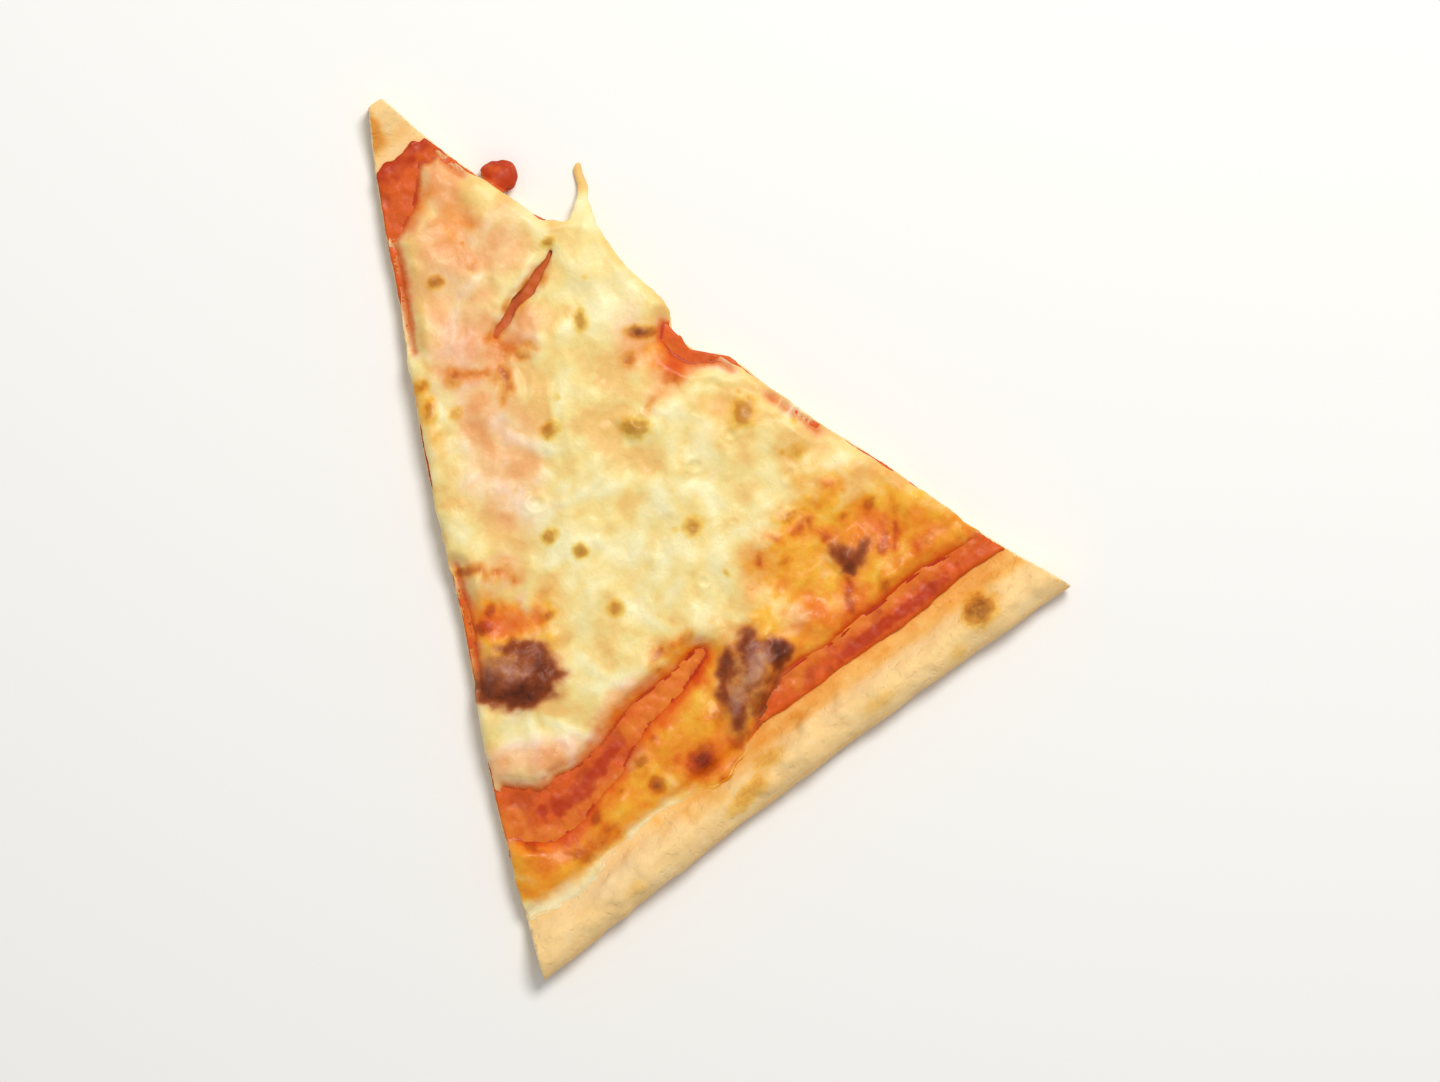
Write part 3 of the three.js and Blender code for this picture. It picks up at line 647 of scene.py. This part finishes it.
def dough_material(settings):
    material, graph, shader = new_material("Baked dough")
    skin = uneven_tone(graph, settings.skin_color[:], 7.0, 0.9, 0.2)
    golden = uneven_tone(graph, settings.golden_color[:], 6.0, 1.1, 0.3)
    bake = graph.step(graph.uneven(graph.mask("bake"), 3.0, 0.7), 0.05, 0.9)
    color = graph.blend(bake, skin, golden)
    dusted = graph.math("MULTIPLY", graph.mask("flour"), 0.75)
    flour = graph.step(graph.noise(8.0, 3.0, 0.6), 0.5, 0.7, 0.0, 0.45)
    color = graph.blend(graph.math("MAXIMUM", flour, dusted), color, settings.flour_color[:])
    oil = graph.uneven(graph.mask("oil"), 2.4, 0.5)
    base = settings.skin_color[:]
    seen = ((0.3, settings.stain_color[:]), (0.75, settings.oily_color[:]))
    color = graph.stain(color, oil, base, *seen)
    color = browned(graph, color, "brown")

    leopard = graph.step(graph.uneven(graph.noise(11.0, 3.0, 0.6), 2.5, 0.25), 0.52, 0.66, 0.0, 0.8)
    sole = uneven_tone(graph, settings.base_color[:], 11.0, 1.4, 0.5)
    under = graph.blend(leopard, sole, srgb(146, 92, 46))
    outside = graph.blend(graph.mask("under"), color, under)

    crumb = uneven_tone(graph, settings.crumb_color[:], 4.5, 0.7, 0.18)
    # Painted shade in the opened bubbles, darker with their depth, on the crumb's colour.
    hole = graph.step(graph.mask("hole"), 0.1, 0.9, 0.0, 0.55)
    inside = graph.blend(hole, crumb, srgb(222, 172, 100))
    height = graph.node("ShaderNodeSeparateXYZ", {"Vector": graph.place()}).outputs["Z"]
    sole = graph.step(height, 0.25 * MM, 0.9 * MM, 0.8, 0.0)
    inside = graph.blend(sole, inside, settings.golden_color[:])
    graph.fill(shader, Base_Color=graph.blend(graph.mask("crumb"), outside, inside))

    rough = graph.step(graph.noise(2.0, 3.0), 0.3, 0.7, 0.62, 0.82)
    oily = graph.step(oil, 0.1, 0.8, 0.0, 0.28)
    graph.fill(shader, Roughness=graph.math("SUBTRACT", rough, oily), Specular_IOR_Level=0.3)
    pits = graph.step(graph.noise(1.4, 2.0), 0.28, 0.42)
    add_bump(graph, shader, graph.math("ADD", graph.noise(0.55, 3.0, 0.6), pits), 0.09)
    add_depth(graph, shader, 0.12, (1.0, 0.55, 0.25), 1.2)
    return material


# ---------- Sauce ----------
def sculpt_sauce(piece, settings):
    mesh = piece.data
    points, normals = read_mesh(mesh)
    noise = Noise(8)
    top = smoothstep(normals[:, 2], 0.3, 0.8)
    pulp = noise(points, 4.4, 2)
    lumps = settings.pulp_relief * (0.75 * pulp + 0.35 * noise(points, 1.8, 2) + 0.1)
    lumps = mix(lumps, -0.35, beside_rim(points, 17.0, 14.0))
    side = smoothstep(np.hypot(normals[:, 0], normals[:, 1]), 0.5, 0.9)
    in_slice = from_cuts(points) > -1.0
    uneven = noise(points, 4.0, 2)
    at_tip = smoothstep(from_cuts(points), 0.2, 1.2) * (points[:, 1] < -50)
    squeezed = np.where(in_slice, mix(0.2, 1.5, at_tip) * uneven - 0.12, 0.9 * uneven - 0.3)
    moved = points + normals * (top * lumps + side * squeezed)[:, None]
    moved[:, 2] = np.clip(moved[:, 2], SLICE_LOW[2], CHEESE_FLOOR + 0.9)
    sole = normals[:, 2] < -0.7
    moved[sole] = points[sole]
    write_points(mesh, moved)
    in_channel = 1 - smoothstep(line_distance(points, DARK_STRETCH, DARK_HALF_WIDTHS), -1.5, 1.5)
    from_middle = np.abs(points[:, :2] - BARE_BAND_MIDDLE)
    in_band = smoothstep(from_middle[:, 1], 2.2, 0.3) * smoothstep(from_middle[:, 0], 20, 8)
    on_drop = smoothstep(-from_cuts(points), 0.0, 1.5)
    at_end = 0.9 * (1 - smoothstep(points[:, 1], -66, -60))
    deep = np.max([in_channel, in_band, at_end, on_drop], axis=0) + 0.5 * noise(points, 2.6, 2)
    crack = 1 - smoothstep(line_distance(points, CRACK_LINE, CRACK_HALF_WIDTHS), 0.5, 2.0)
    oil = spots_mask(points, OILY_PATCHES, 0.5, 0.3 * noise(points, 4.0, 2))
    write_masks(mesh, pulp=0.5 + 0.5 * pulp, deep=deep, oil=oil, baked=crack)


def sauce_material(settings):
    material, graph, shader = new_material("Tomato sauce")
    base = uneven_tone(graph, settings.sauce_color[:], 5.0, 0.8, 0.4)
    oil = graph.step(graph.uneven(graph.mask("oil"), 2.2, 0.9), 0.3, 1.0, 0.0, 0.8)
    color = graph.blend(oil, base, settings.oil_color[:])
    deep = graph.step(graph.uneven(graph.mask("deep"), 2.0, 0.6), 0.25, 0.95, 0.0, 0.9)
    color = graph.blend(deep, color, settings.deep_color[:])
    baked = graph.step(graph.mask("baked"), 0.1, 0.9, 0.0, 0.75)
    color = graph.blend(baked, color, settings.baked_color[:])
    hollow = graph.step(graph.mask("pulp"), 0.1, 0.42, 0.4, 0.0)
    color = graph.blend(hollow, color, settings.pulp_color[:])
    rough = graph.step(graph.noise(2.4, 3.0), 0.35, 0.65, 0.4, 0.62)
    graph.fill(shader, Base_Color=color, Roughness=rough)
    graph.fill(shader, Specular_IOR_Level=0.24, Coat_Weight=0.06, Coat_Roughness=0.2)
    add_bump(graph, shader, graph.noise(0.7, 4.0, 0.6), 0.1)
    add_depth(graph, shader, 0.1, (1.2, 0.4, 0.15), 1.2)
    return material


# ---------- Cheese ----------
def melted_shreds(points, settings, rng):
    """The short curved ridges that shredded cheese leaves when it melts, 1 on a full crest."""
    height = np.zeros(len(points))
    for _ in range(settings.shred_count):
        x, y = rng.uniform(SLICE_LOW[:2], SLICE_HIGH[:2])
        angle, half_long = rng.uniform(0, math.pi), rng.uniform(5, 11)
        wide, bend = rng.uniform(1.1, 2.0), rng.uniform(-0.035, 0.035)
        near = np.flatnonzero(np.abs(points[:, 0] - x) + np.abs(points[:, 1] - y) < 17)
        dx, dy = points[near, 0] - x, points[near, 1] - y
        u = dx * math.cos(angle) + dy * math.sin(angle)
        v = dy * math.cos(angle) - dx * math.sin(angle) - bend * u * u
        ridge = np.exp(-((v / wide) ** 2)) * (1 - smoothstep(np.abs(u), 0.5 * half_long, half_long))
        height[near] = np.maximum(height[near], ridge * rng.uniform(0.4, 1.0))
    return height


def small_bubbles(points, settings, rng):
    """Height of small domes, some of them sunk in the middle where they burst."""
    height = np.zeros(len(points))
    for _ in range(settings.small_bubble_count):
        x, y = rng.uniform(SLICE_LOW[:2], SLICE_HIGH[:2])
        radius = mix(0.6, 2.3, rng.random() ** 2)
        burst = rng.random() < 0.12
        near = np.flatnonzero(np.abs(points[:, 0] - x) + np.abs(points[:, 1] - y) < 4.8)
        along, turn = radius * rng.uniform(1, 1.4), rng.uniform(0, 180)
        away = oval_distance(points[near], x, y, along, radius, turn)
        dome = 1 - smoothstep(away, 0.1, 1.0)
        ring = np.exp(-(((away - 0.75) / 0.3) ** 2)) - 0.9 * np.exp(-((away / 0.5) ** 2))
        height[near] += radius * 0.12 * (ring if burst else dome)
    return height


def line_marks(points, lines, noise):
    """Soft wandering marks that fade in and out along their lines, each (line, strength)."""
    wandering = wander(points, noise, 1.5, 5.0)
    mask = np.zeros(len(points))
    for line, strength in lines:
        away = line_distance(wandering, line, [0.2] * len(line))
        mask = np.maximum(mask, strength * (1 - smoothstep(away, -0.8, 2.8)))
    return mask * np.clip(0.8 + 0.9 * noise(points, 4.0, 2), 0.1, 1.3)


def drape_over_rim(points, share, noise, dough):
    """Draws the cheese's outer edge on over the foot of the rim, and lays it on the dough there."""
    reach = sum(far * np.exp(-(((points[:, 0] - x) / half) ** 2)) for x, half, far in DRAPES)
    points[:, 1] += share * np.maximum(reach + 0.7 * noise(points * (1, 0, 0), 5.0, 2), 0)
    tree = BVHTree.FromPolygons(
        [vertex.co for vertex in dough.data.vertices], [face.vertices for face in dough.data.polygons]
    )
    on_sauce = smoothstep(from_rim_edge(points), 12.2, 14.0)
    for index in np.flatnonzero(share > 0.01):
        x, y, _ = points[index] * MM
        hit = tree.ray_cast(Vector((x, y, 20 * MM)), Vector((0, 0, -1)))[0]
        if hit:
            skin = hit.z / MM - 0.1
            floor = max(mix(skin, CHEESE_FLOOR, on_sauce[index]), skin)
            points[index, 2] += mix(0, floor - CHEESE_FLOOR, min(3 * share[index], 1))


def taper_string(points):
    """Narrows and bends the hanging string as it gets away from the flap it was pulled from."""
    root = np.array(STRING_ROOT)
    along = np.array([math.cos(STRING_HEADING), math.sin(STRING_HEADING)])
    across = np.array([-along[1], along[0]])
    u = (points[:, :2] - root) @ along
    v = (points[:, :2] - root) @ across
    loose = smoothstep(u, *STRING_LOOSE)
    narrower = 0.35 * loose
    bend = 0.7 * loose * np.sin(0.6 * u)
    aside = (bend - v * narrower) * (np.abs(v) < STRING_HALF_WIDTH)
    points[:, :2] += aside[:, None] * across


def cheese_masks(points, shreds, settings, noise, rng):
    """How strongly each point of the cheese is browned, oily, reddened or pale on its lumps, from 0 to
    1; the paleness of raised cheese is partly a painted highlight, and the crests of the blisters get a
    painted highlight too.
    """
    ragged = noise(points, 2.4, 2)
    patchy = noise(points, 6.0, 3)
    specks = []
    for _ in range(settings.speck_count):
        x, y = rng.uniform(SLICE_LOW[:2], SLICE_HIGH[:2])
        specks.append((x, y, *rng.uniform(0.4, 0.9, 2), rng.uniform(0.15, 0.4)))
    groove = line_distance(points, CHANNEL_LINE, GROOVE_HALF_WIDTHS) + 0.9 * ragged
    inner_end = smoothstep(points[:, 0], 16, 4)
    veins = line_marks(points, VEINS, noise)
    scorches = line_marks(points, SCORCHES, noise)
    blush = spots_mask(points, RED_PATCHES, 0.9, 0.35 * patchy)
    red = np.maximum(blush, mix(0.82, 0.6, inner_end) * (1 - smoothstep(groove, -2.6, 2.8)))
    red = np.maximum(red + 0.45 * veins, 0.32 * scorches)
    # Paler where the cheese is thicker and on the shred crests: partly the cheese's own colour, partly a
    # painted highlight on raised cheese.
    lump = 0.2 + 0.5 * noise(points, 7.0, 3) + 0.55 * shreds
    wandering = wander(points, noise, 1.3, 4.5)
    toast = spots_mask(points, TOASTED_SPOTS + specks, 0.9, 0.3 * ragged)
    return {
        "char": spots_mask(wandering, BROWN_BLISTERS + DARK_LOBES, 0.9, 0.12 * ragged, merged=True),
        # Painted highlight on the crests of the dark blisters.
        "ash": spots_mask(wandering, CREST_HIGHLIGHTS, 0.95, 0.4 * ragged),
        "toast": np.max([toast, 0.75 * veins, 0.9 * scorches], axis=0),
        "oil": spots_mask(points, OILY_PATCHES, 0.75, 0.4 * patchy) * (1 - 0.35 * red),
        "red": red,
        "lump": lump + spots_mask(points, PALE_PATCHES, 0.9),
    }


def cheese_relief(points, masks, shreds, settings, noise, rng):
    """How far each point of the cheese's top rises, in millimetres."""
    relief = settings.shred_relief * shreds * (1 - 0.5 * masks["oil"])
    relief += small_bubbles(points, settings, rng)
    relief += 0.38 * noise(points, 7.5, 2) + 0.2 * noise(points, 13, 1)
    relief -= 0.3 * masks["oil"] * np.abs(noise(points, 3.6, 3))
    relief += 0.16 * masks["toast"] * (1 + 0.6 * noise(points, 1.5, 2))
    relief -= 0.5 * line_marks(points, VEINS, noise)
    char = smoothstep(masks["char"], 0.1, 0.7)
    wrinkles = np.abs(noise(points * (1, 1, 0.4), 3.4, 3))
    relief += char * (0.25 - settings.blister_wrinkles * wrinkles + 0.3 * masks["ash"])
    relief += 0.16 * smoothstep(masks["char"], 0.6, 1.0)
    return relief + 0.8 * (1 - smoothstep(oval_distance(points, *CLEAR_BUBBLE), 0.2, 1.1))


def edge_distance(points, upright):
    """Millimetres, seen from above, to the nearest edge of the cheese that isn't on a cut.

    The steep sides of the crack count as farther off, so that they stay high.
    """
    edges = np.flatnonzero((upright > 0.75) & (from_cuts(points) > 1.2))
    tree = KDTree(len(edges))
    for index in edges:
        tree.insert((*points[index, :2], 0), index)
    tree.balance()
    distance = np.array([tree.find((x, y, 0))[2] for x, y, _ in points])
    from_crack = line_distance(points, CRACK_LINE, CRACK_HALF_WIDTHS)
    return distance + 2.2 * (1 - smoothstep(from_crack, 2.0, 5.0))


def cheese_thickness(points, from_edge, near_rim, settings):
    """The share of its thickness that the cheese keeps beside its edges and over the rim."""
    groove = line_distance(points, CHANNEL_LINE, GROOVE_HALF_WIDTHS)
    share = mix(0.12, 1.0, smoothstep(from_edge / settings.edge_slope, 0.0, 1.0))
    share *= mix(0.5, 1.0, smoothstep(groove, -1.5, 3.5))
    return share * mix(1.0, 0.5, near_rim)


def sculpt_cheese(piece, settings, dough):
    mesh = piece.data
    points, normals = read_mesh(mesh)
    rng = np.random.default_rng(21)
    noise = Noise(21)
    above = points[:, 2] - CHEESE_FLOOR
    top = smoothstep(normals[:, 2], 0.1, 0.6)
    near_rim = beside_rim(points, 19.0, 13.0)
    shreds = melted_shreds(points, settings, rng)
    masks = cheese_masks(points, shreds, settings, noise, rng)
    relief = cheese_relief(points, masks, shreds, settings, noise, rng)
    upright = np.hypot(normals[:, 0], normals[:, 1])
    from_edge = edge_distance(points, upright)
    height = np.maximum(above + top * relief, 0.3)
    height *= cheese_thickness(points, from_edge, near_rim, settings)
    rising = above > 0.3
    inside = smoothstep(from_cuts(points), 0.5, 2.5) * (1 - near_rim)
    sunk = inside * settings.sunk_edge
    moved = points.copy()
    moved[:, 2] -= np.where(rising, 0, 1.3 * sunk * smoothstep(upright, 0.2, 0.6))
    height -= sunk * smoothstep(from_edge, 1.4, 0.0)
    moved[rising, 2] = CHEESE_FLOOR + height[rising]
    side = smoothstep(upright, 0.4, 0.9)
    pull = side * (0.3 + 0.35 * noise(points, 6.0, 2) + 0.2 * noise(points, 2.0, 1))
    moved[:, :2] += normals[:, :2] * pull[:, None]
    drape_over_rim(moved, near_rim, noise, dough)
    taper_string(moved)
    write_points(mesh, np.clip(moved, SLICE_LOW, SLICE_HIGH))

    thickness = np.where(rising, height, 9) + 0.25 * noise(points, 2.4, 2)
    thin = 0.6 * top * inside * (1 - smoothstep(thickness, 0.1, 1.7))
    thin *= 1 - 0.8 * masks["oil"] * smoothstep(from_edge, 2.5, 5.0)
    edge = inside * np.where(rising, 1 - smoothstep(thickness, -0.2, 0.5), 1)
    masks["red"] = np.max([masks["red"], thin, edge], axis=0)
    golden_rim = 0.55 * near_rim * smoothstep(points[:, 0], 34, 22)
    pale_foot = smoothstep(points[:, 1] + 0.8 * noise(points, 4.0, 2), 60.6, 63.6)
    pale_foot *= smoothstep(points[:, 0], 15, 24)
    masks["oil"] = np.maximum(masks["oil"], golden_rim) * (1 - 0.85 * pale_foot)
    masks["lump"] = np.maximum(masks["lump"], 0.95 * pale_foot)
    write_masks(mesh, **masks)


def cheese_material(settings):
    material, graph, shader = new_material("Melted cheese")
    base = settings.cream_color[:]
    # Warmer between the lumps and paler on them: partly thin and thick cheese, partly painted shade in
    # the hollows and a painted highlight on the tops.
    lump = graph.uneven(graph.mask("lump"), 2.6, 0.3)
    cream = graph.ramp(lump, (0.08, settings.warm_and_shade_color[:]), (0.4, base), (0.9, settings.pale_and_highlight_color[:]))
    color = uneven_tone(graph, cream, 8.0, 1.0, 0.12)
    oil = graph.uneven(graph.mask("oil"), 3.2, 0.8)
    golds = (
        (0.16, srgb(250, 206, 122)),
        (0.48, settings.golden_color[:]),
        (0.82, settings.orange_color[:]),
        (1.0, srgb(214, 112, 34)),
    )
    color = graph.stain(color, oil, base, *golds)
    red = graph.uneven(graph.mask("red"), 2.4, 0.4)
    reds = (
        (0.12, srgb(248, 202, 142)),
        (0.4, settings.pink_color[:]),
        (0.72, srgb(226, 116, 44)),
        (1.0, settings.red_color[:]),
    )
    color = graph.stain(color, red, base, *reds)
    color = browned(graph, color, "toast")

    char = graph.uneven(graph.mask("char"), 2.0, 0.4)
    skin = graph.ramp(
        char,
        (0.12, srgb(222, 130, 60)),
        (0.42, srgb(182, 92, 38)),
        (0.72, settings.blister_color[:]),
        (0.98, settings.burnt_color[:]),
    )
    # Painted highlight: the blisters' crests are blended towards a lilac grey.
    ash = graph.step(graph.uneven(graph.mask("ash"), 1.4, 0.8), 0.15, 0.95, 0.0, 0.85)
    skin = graph.blend(ash, skin, settings.crest_highlight_color[:])
    graph.fill(shader, Base_Color=graph.blend(graph.step(char, 0.04, 0.66), color, skin))

    rough = graph.step(graph.noise(4.0, 2.0), 0.3, 0.7, 0.36, 0.5)
    matt = graph.step(char, 0.2, 0.8, 0.0, 0.1)
    graph.fill(shader, Roughness=graph.math("ADD", rough, matt), Specular_IOR_Level=0.3)
    graph.fill(shader, Coat_Weight=graph.step(oil, 0.1, 0.9, 0.04, 0.09), Coat_Roughness=0.22)
    bubbly = graph.step(graph.noise(2.2, 3.0, 0.6, 0.5), 0.3, 0.7)
    add_bump(graph, shader, graph.math("ADD", graph.noise(1.3, 2.0), bubbly), 0.06)
    add_depth(graph, shader, 0.15, (1.3, 0.7, 0.3), 1.4)
    return material


# ---------- Settings that a user would change ----------
def measure(name, default, description):
    return FloatProperty(name=name, description=description, default=default, min=0.0, precision=3)


def tally(name, default, description):
    return IntProperty(name=name, description=description, default=default, min=0)


def tone(name, seen, description):
    """A colour setting; seen is its default as seen on a screen, 0 to 255."""
    kept = {"name": name, "description": description, "default": srgb(*seen)}
    return FloatVectorProperty(**kept, subtype="COLOR", min=0.0, max=1.0)


class DoughSettings(bpy.types.PropertyGroup):
    voxel: measure("Face size", 0.38, "Size of the dough's faces in millimetres")
    bubble_count: tally("Crumb bubbles", 620, "Bubbles that the two cuts open")
    bubble_size: measure("Bubble size", 1.0, "Size of the crumb bubbles, against a thin crust's")
    rim_blisters: tally("Rim blisters", 34, "Small blisters on the rim")
    skin_relief: measure("Skin relief", 0.28, "Unevenness of the rim's skin in millimetres")
    skin_color: tone("Skin", (251, 211, 144), "Palely baked skin of the rim")
    flour_color: tone("Flour", (252, 224, 172), "Skin that is dusted with flour")
    golden_color: tone("Golden", (238, 182, 104), "Skin where it is baked more")
    crumb_color: tone("Crumb", (250, 224, 170), "Crumb on the cut faces")
    base_color: tone("Underside", (224, 172, 104), "Baked underside")
    stain_color: tone("Stain", (247, 190, 102), "Skin stained by a little oil")
    oily_color: tone("Oily stain", (236, 158, 58), "Skin stained by oil and tomato")


class SauceSettings(bpy.types.PropertyGroup):
    voxel: measure("Face size", 0.36, "Size of the sauce's faces in millimetres")
    pulp_relief: measure("Pulp relief", 0.42, "Height of the pulp's lumps in millimetres")
    sauce_color: tone("Sauce", (218, 92, 24), "Baked tomato")
    deep_color: tone("Deep sauce", (188, 54, 10), "Tomato where it lies thick")
    oil_color: tone("Oily sauce", (234, 136, 40), "Sauce mixed with oil")
    baked_color: tone("Baked sauce", (196, 100, 36), "Sauce browned in a narrow gap")
    pulp_color: tone("Dark pulp", (166, 48, 10), "Sauce in the hollows")


class CheeseSettings(bpy.types.PropertyGroup):
    voxel: measure("Face size", 0.38, "Size of the cheese's faces in millimetres")
    shred_count: tally("Shreds", 240, "Ridges left by melted shreds")
    shred_relief: measure("Shred relief", 0.3, "Height of those ridges in millimetres")
    small_bubble_count: tally("Small bubbles", 420, "Small domes and craters")
    speck_count: tally("Specks", 46, "Faint toasted specks")
    blister_wrinkles: measure("Wrinkles", 0.5, "Depth of a blister's wrinkles in millimetres")
    edge_slope: measure("Edge slope", 3.6, "How far the cheese thins towards its edges")
    sunk_edge: measure("Sunk edge", 0.6, "How deep its inner edges sink into the sauce")
    cream_color: tone("Cream", (246, 220, 142), "Melted cheese")
    # Warm cream is partly painted shade between the lumps; pale cream is partly a painted highlight on
    # them.
    warm_and_shade_color: tone("Warm cream", (241, 196, 116), "Thinner cheese between the lumps")
    pale_and_highlight_color: tone("Pale cream", (251, 238, 184), "Thickest cheese")
    golden_color: tone("Golden", (251, 178, 46), "Cheese yellowed by oil")
    orange_color: tone("Orange", (240, 144, 30), "Thin cheese soaked with oil")
    pink_color: tone("Pink", (238, 160, 96), "Cheese with the sauce shining through")
    red_color: tone("Red", (202, 76, 18), "Cheese mixed with sauce")
    blister_color: tone("Blister", (134, 58, 16), "Skin of the dark blisters")
    burnt_color: tone("Burnt", (78, 24, 4), "Darkest skin")
    # The colour of the painted highlight on the blisters' crests.
    crest_highlight_color: tone("Ashy crests", (182, 126, 104), "Greyish crests of the blisters")


class StageSettings(bpy.types.PropertyGroup):
    camera_height: measure("Camera height", 1.45, "Height of the camera in metres")
    view_height: measure("View height", 0.208, "Height of what the camera takes in, in metres")
    key_power: measure("Key light", 6.2, "Power of the key light in watts")
    fill_strength: measure("Fill", 0.42, "Strength of the light from all sides")
    floor_color: tone("Floor", (250, 249, 246), "Plain pale floor")


SETTINGS = {
    "pizza_dough": DoughSettings,
    "pizza_sauce": SauceSettings,
    "pizza_cheese": CheeseSettings,
    "pizza_stage": StageSettings,
}


# ---------- Operators ----------
class PIZZA_OT_dough(bpy.types.Operator):
    """Builds the baked dough with its rim and open crumb"""

    bl_idname = "pizza.dough"
    bl_label = "Dough"

    def execute(self, context):
        settings = context.scene.pizza_dough
        piece = fine_copy("dough", "baked_dough", settings.voxel, 4)
        points, normals = read_mesh(piece.data)
        hidden = level_faces(points, normals, 0, -1) | level_faces(points, normals, DOUGH_TOP, 1)
        thin_out(piece, hidden, 0.02)
        sculpt_dough(piece, settings)
        finish_piece(piece, "dough", dough_material(settings))
        return {"FINISHED"}


class PIZZA_OT_sauce(bpy.types.Operator):
    """Builds the tomato sauce between the dough and the cheese"""

    bl_idname = "pizza.sauce"
    bl_label = "Sauce"

    def execute(self, context):
        settings = context.scene.pizza_sauce
        piece = fine_copy("sauce", "tomato_sauce", settings.voxel, 3)
        points, normals = read_mesh(piece.data)
        opening = np.minimum(
            line_distance(points, CHANNEL_LINE, CHANNEL_HALF_WIDTHS),
            line_distance(points, CRACK_LINE, CRACK_HALF_WIDTHS),
        )
        covered = (normals[:, 2] > 0.9) & (from_cuts(points) > 4.5) & (opening > 2.5)
        covered &= (points[:, 1] > -50) & (from_rim_edge(points) > 20)
        thin_out(piece, covered | level_faces(points, normals, SAUCE_FLOOR, -1), 0.03)
        sculpt_sauce(piece, settings)
        finish_piece(piece, "sauce", sauce_material(settings))
        return {"FINISHED"}


class PIZZA_OT_cheese(bpy.types.Operator):
    """Builds the melted cheese with its spots, patches and blisters"""

    bl_idname = "pizza.cheese"
    bl_label = "Cheese"

    def execute(self, context):
        settings = context.scene.pizza_cheese
        piece = fine_copy("cheese", "melted_cheese", settings.voxel, 3)
        points, normals = read_mesh(piece.data)
        thin_out(piece, level_faces(points, normals, CHEESE_FLOOR, -1), 0.03)
        sculpt_cheese(piece, settings, bpy.data.objects["baked_dough"])
        finish_piece(piece, "cheese", cheese_material(settings))
        return {"FINISHED"}


# Seen from above, the slice's tip points up to the left and its +X side faces down to the left.
VIEW_RIGHT = Vector((-0.8, 0.6, 0))
VIEW_UP = Vector((-0.6, -0.8, 0))
CAMERA_OVER = Vector((3.6, -15.3, 0)) * MM
VIEW_MIDDLE = Vector((-14.4, 29.6, 4.0)) * MM
# In metres, like everything on the stage.
FLOOR_SIZE = 8.0
KEY_SIZE = 0.36
KEY_PLACE = VIEW_UP * 0.42 + VIEW_RIGHT * 0.2 + Vector((0, 0, 0.84))
KEY_COLOR = (1.0, 0.985, 0.96)


class PIZZA_OT_stage(bpy.types.Operator):
    """Adds the floor, the lights and the camera"""

    bl_idname = "pizza.stage"
    bl_label = "Stage"

    def execute(self, context):
        settings = context.scene.pizza_stage
        self.add_floor(settings)
        self.add_lights(context, settings)
        self.add_camera(context, settings)
        context.scene.view_settings.view_transform = "Standard"
        return {"FINISHED"}

    def add_floor(self, settings):
        bpy.ops.mesh.primitive_plane_add(size=FLOOR_SIZE)
        floor = bpy.context.object
        floor.name = "floor"
        material, graph, shader = new_material("Plain floor")
        graph.fill(shader, Base_Color=settings.floor_color[:], Roughness=0.9, Specular_IOR_Level=0.1)
        floor.data.materials.append(material)

    def add_lights(self, context, settings):
        world = bpy.data.worlds.new("Soft studio")
        world.use_nodes = True
        background = world.node_tree.nodes["Background"]
        Graph(world.node_tree).fill(background, Color=(1, 1, 1), Strength=settings.fill_strength)
        context.scene.world = world
        bpy.ops.object.light_add(type="AREA")
        key = context.object
        key.name = "key_light"
        key.data.shape = "DISK"
        key.data.size = KEY_SIZE
        key.data.energy = settings.key_power
        key.data.color = KEY_COLOR
        key.location = KEY_PLACE
        key.rotation_euler = (-key.location).to_track_quat("-Z", "Y").to_euler()

    def add_camera(self, context, settings):
        bpy.ops.object.camera_add()
        camera = context.object
        camera.name = "photo_camera"
        camera.location = CAMERA_OVER + Vector((0, 0, settings.camera_height))
        backward = (camera.location - VIEW_MIDDLE).normalized()
        right = VIEW_UP.cross(backward).normalized()
        turn = Matrix((right, backward.cross(right), backward)).transposed()
        camera.rotation_euler = turn.to_euler()
        camera.data.sensor_fit = "VERTICAL"
        camera.data.angle_y = 2 * math.atan(settings.view_height / 2 / settings.camera_height)
        camera.data.clip_start = 0.01
        context.scene.camera = camera


class PIZZA_PT_panel(bpy.types.Panel):
    """Lists the pieces and their settings"""

    bl_idname = "PIZZA_PT_panel"
    bl_label = "Pizza slice"
    bl_space_type = "VIEW_3D"
    bl_region_type = "UI"
    bl_category = "Pizza slice"

    def draw(self, context):
        for operator, group in zip(OPERATORS, SETTINGS):
            box = self.layout.box()
            box.operator(operator.bl_idname)
            for name in SETTINGS[group].__annotations__:
                box.prop(getattr(context.scene, group), name)


OPERATORS = (PIZZA_OT_dough, PIZZA_OT_sauce, PIZZA_OT_cheese, PIZZA_OT_stage)
CLASSES = (*SETTINGS.values(), *OPERATORS, PIZZA_PT_panel)


def register():
    for added in CLASSES:
        bpy.utils.register_class(added)
    for name, group in SETTINGS.items():
        setattr(bpy.types.Scene, name, PointerProperty(type=group))


def unregister():
    for name in SETTINGS:
        delattr(bpy.types.Scene, name)
    for added in reversed(CLASSES):
        bpy.utils.unregister_class(added)


def main():
    register()
    bpy.ops.pizza.dough()
    bpy.ops.pizza.sauce()
    bpy.ops.pizza.cheese()
    bpy.ops.pizza.stage()


if __name__ == "__main__":
    main()
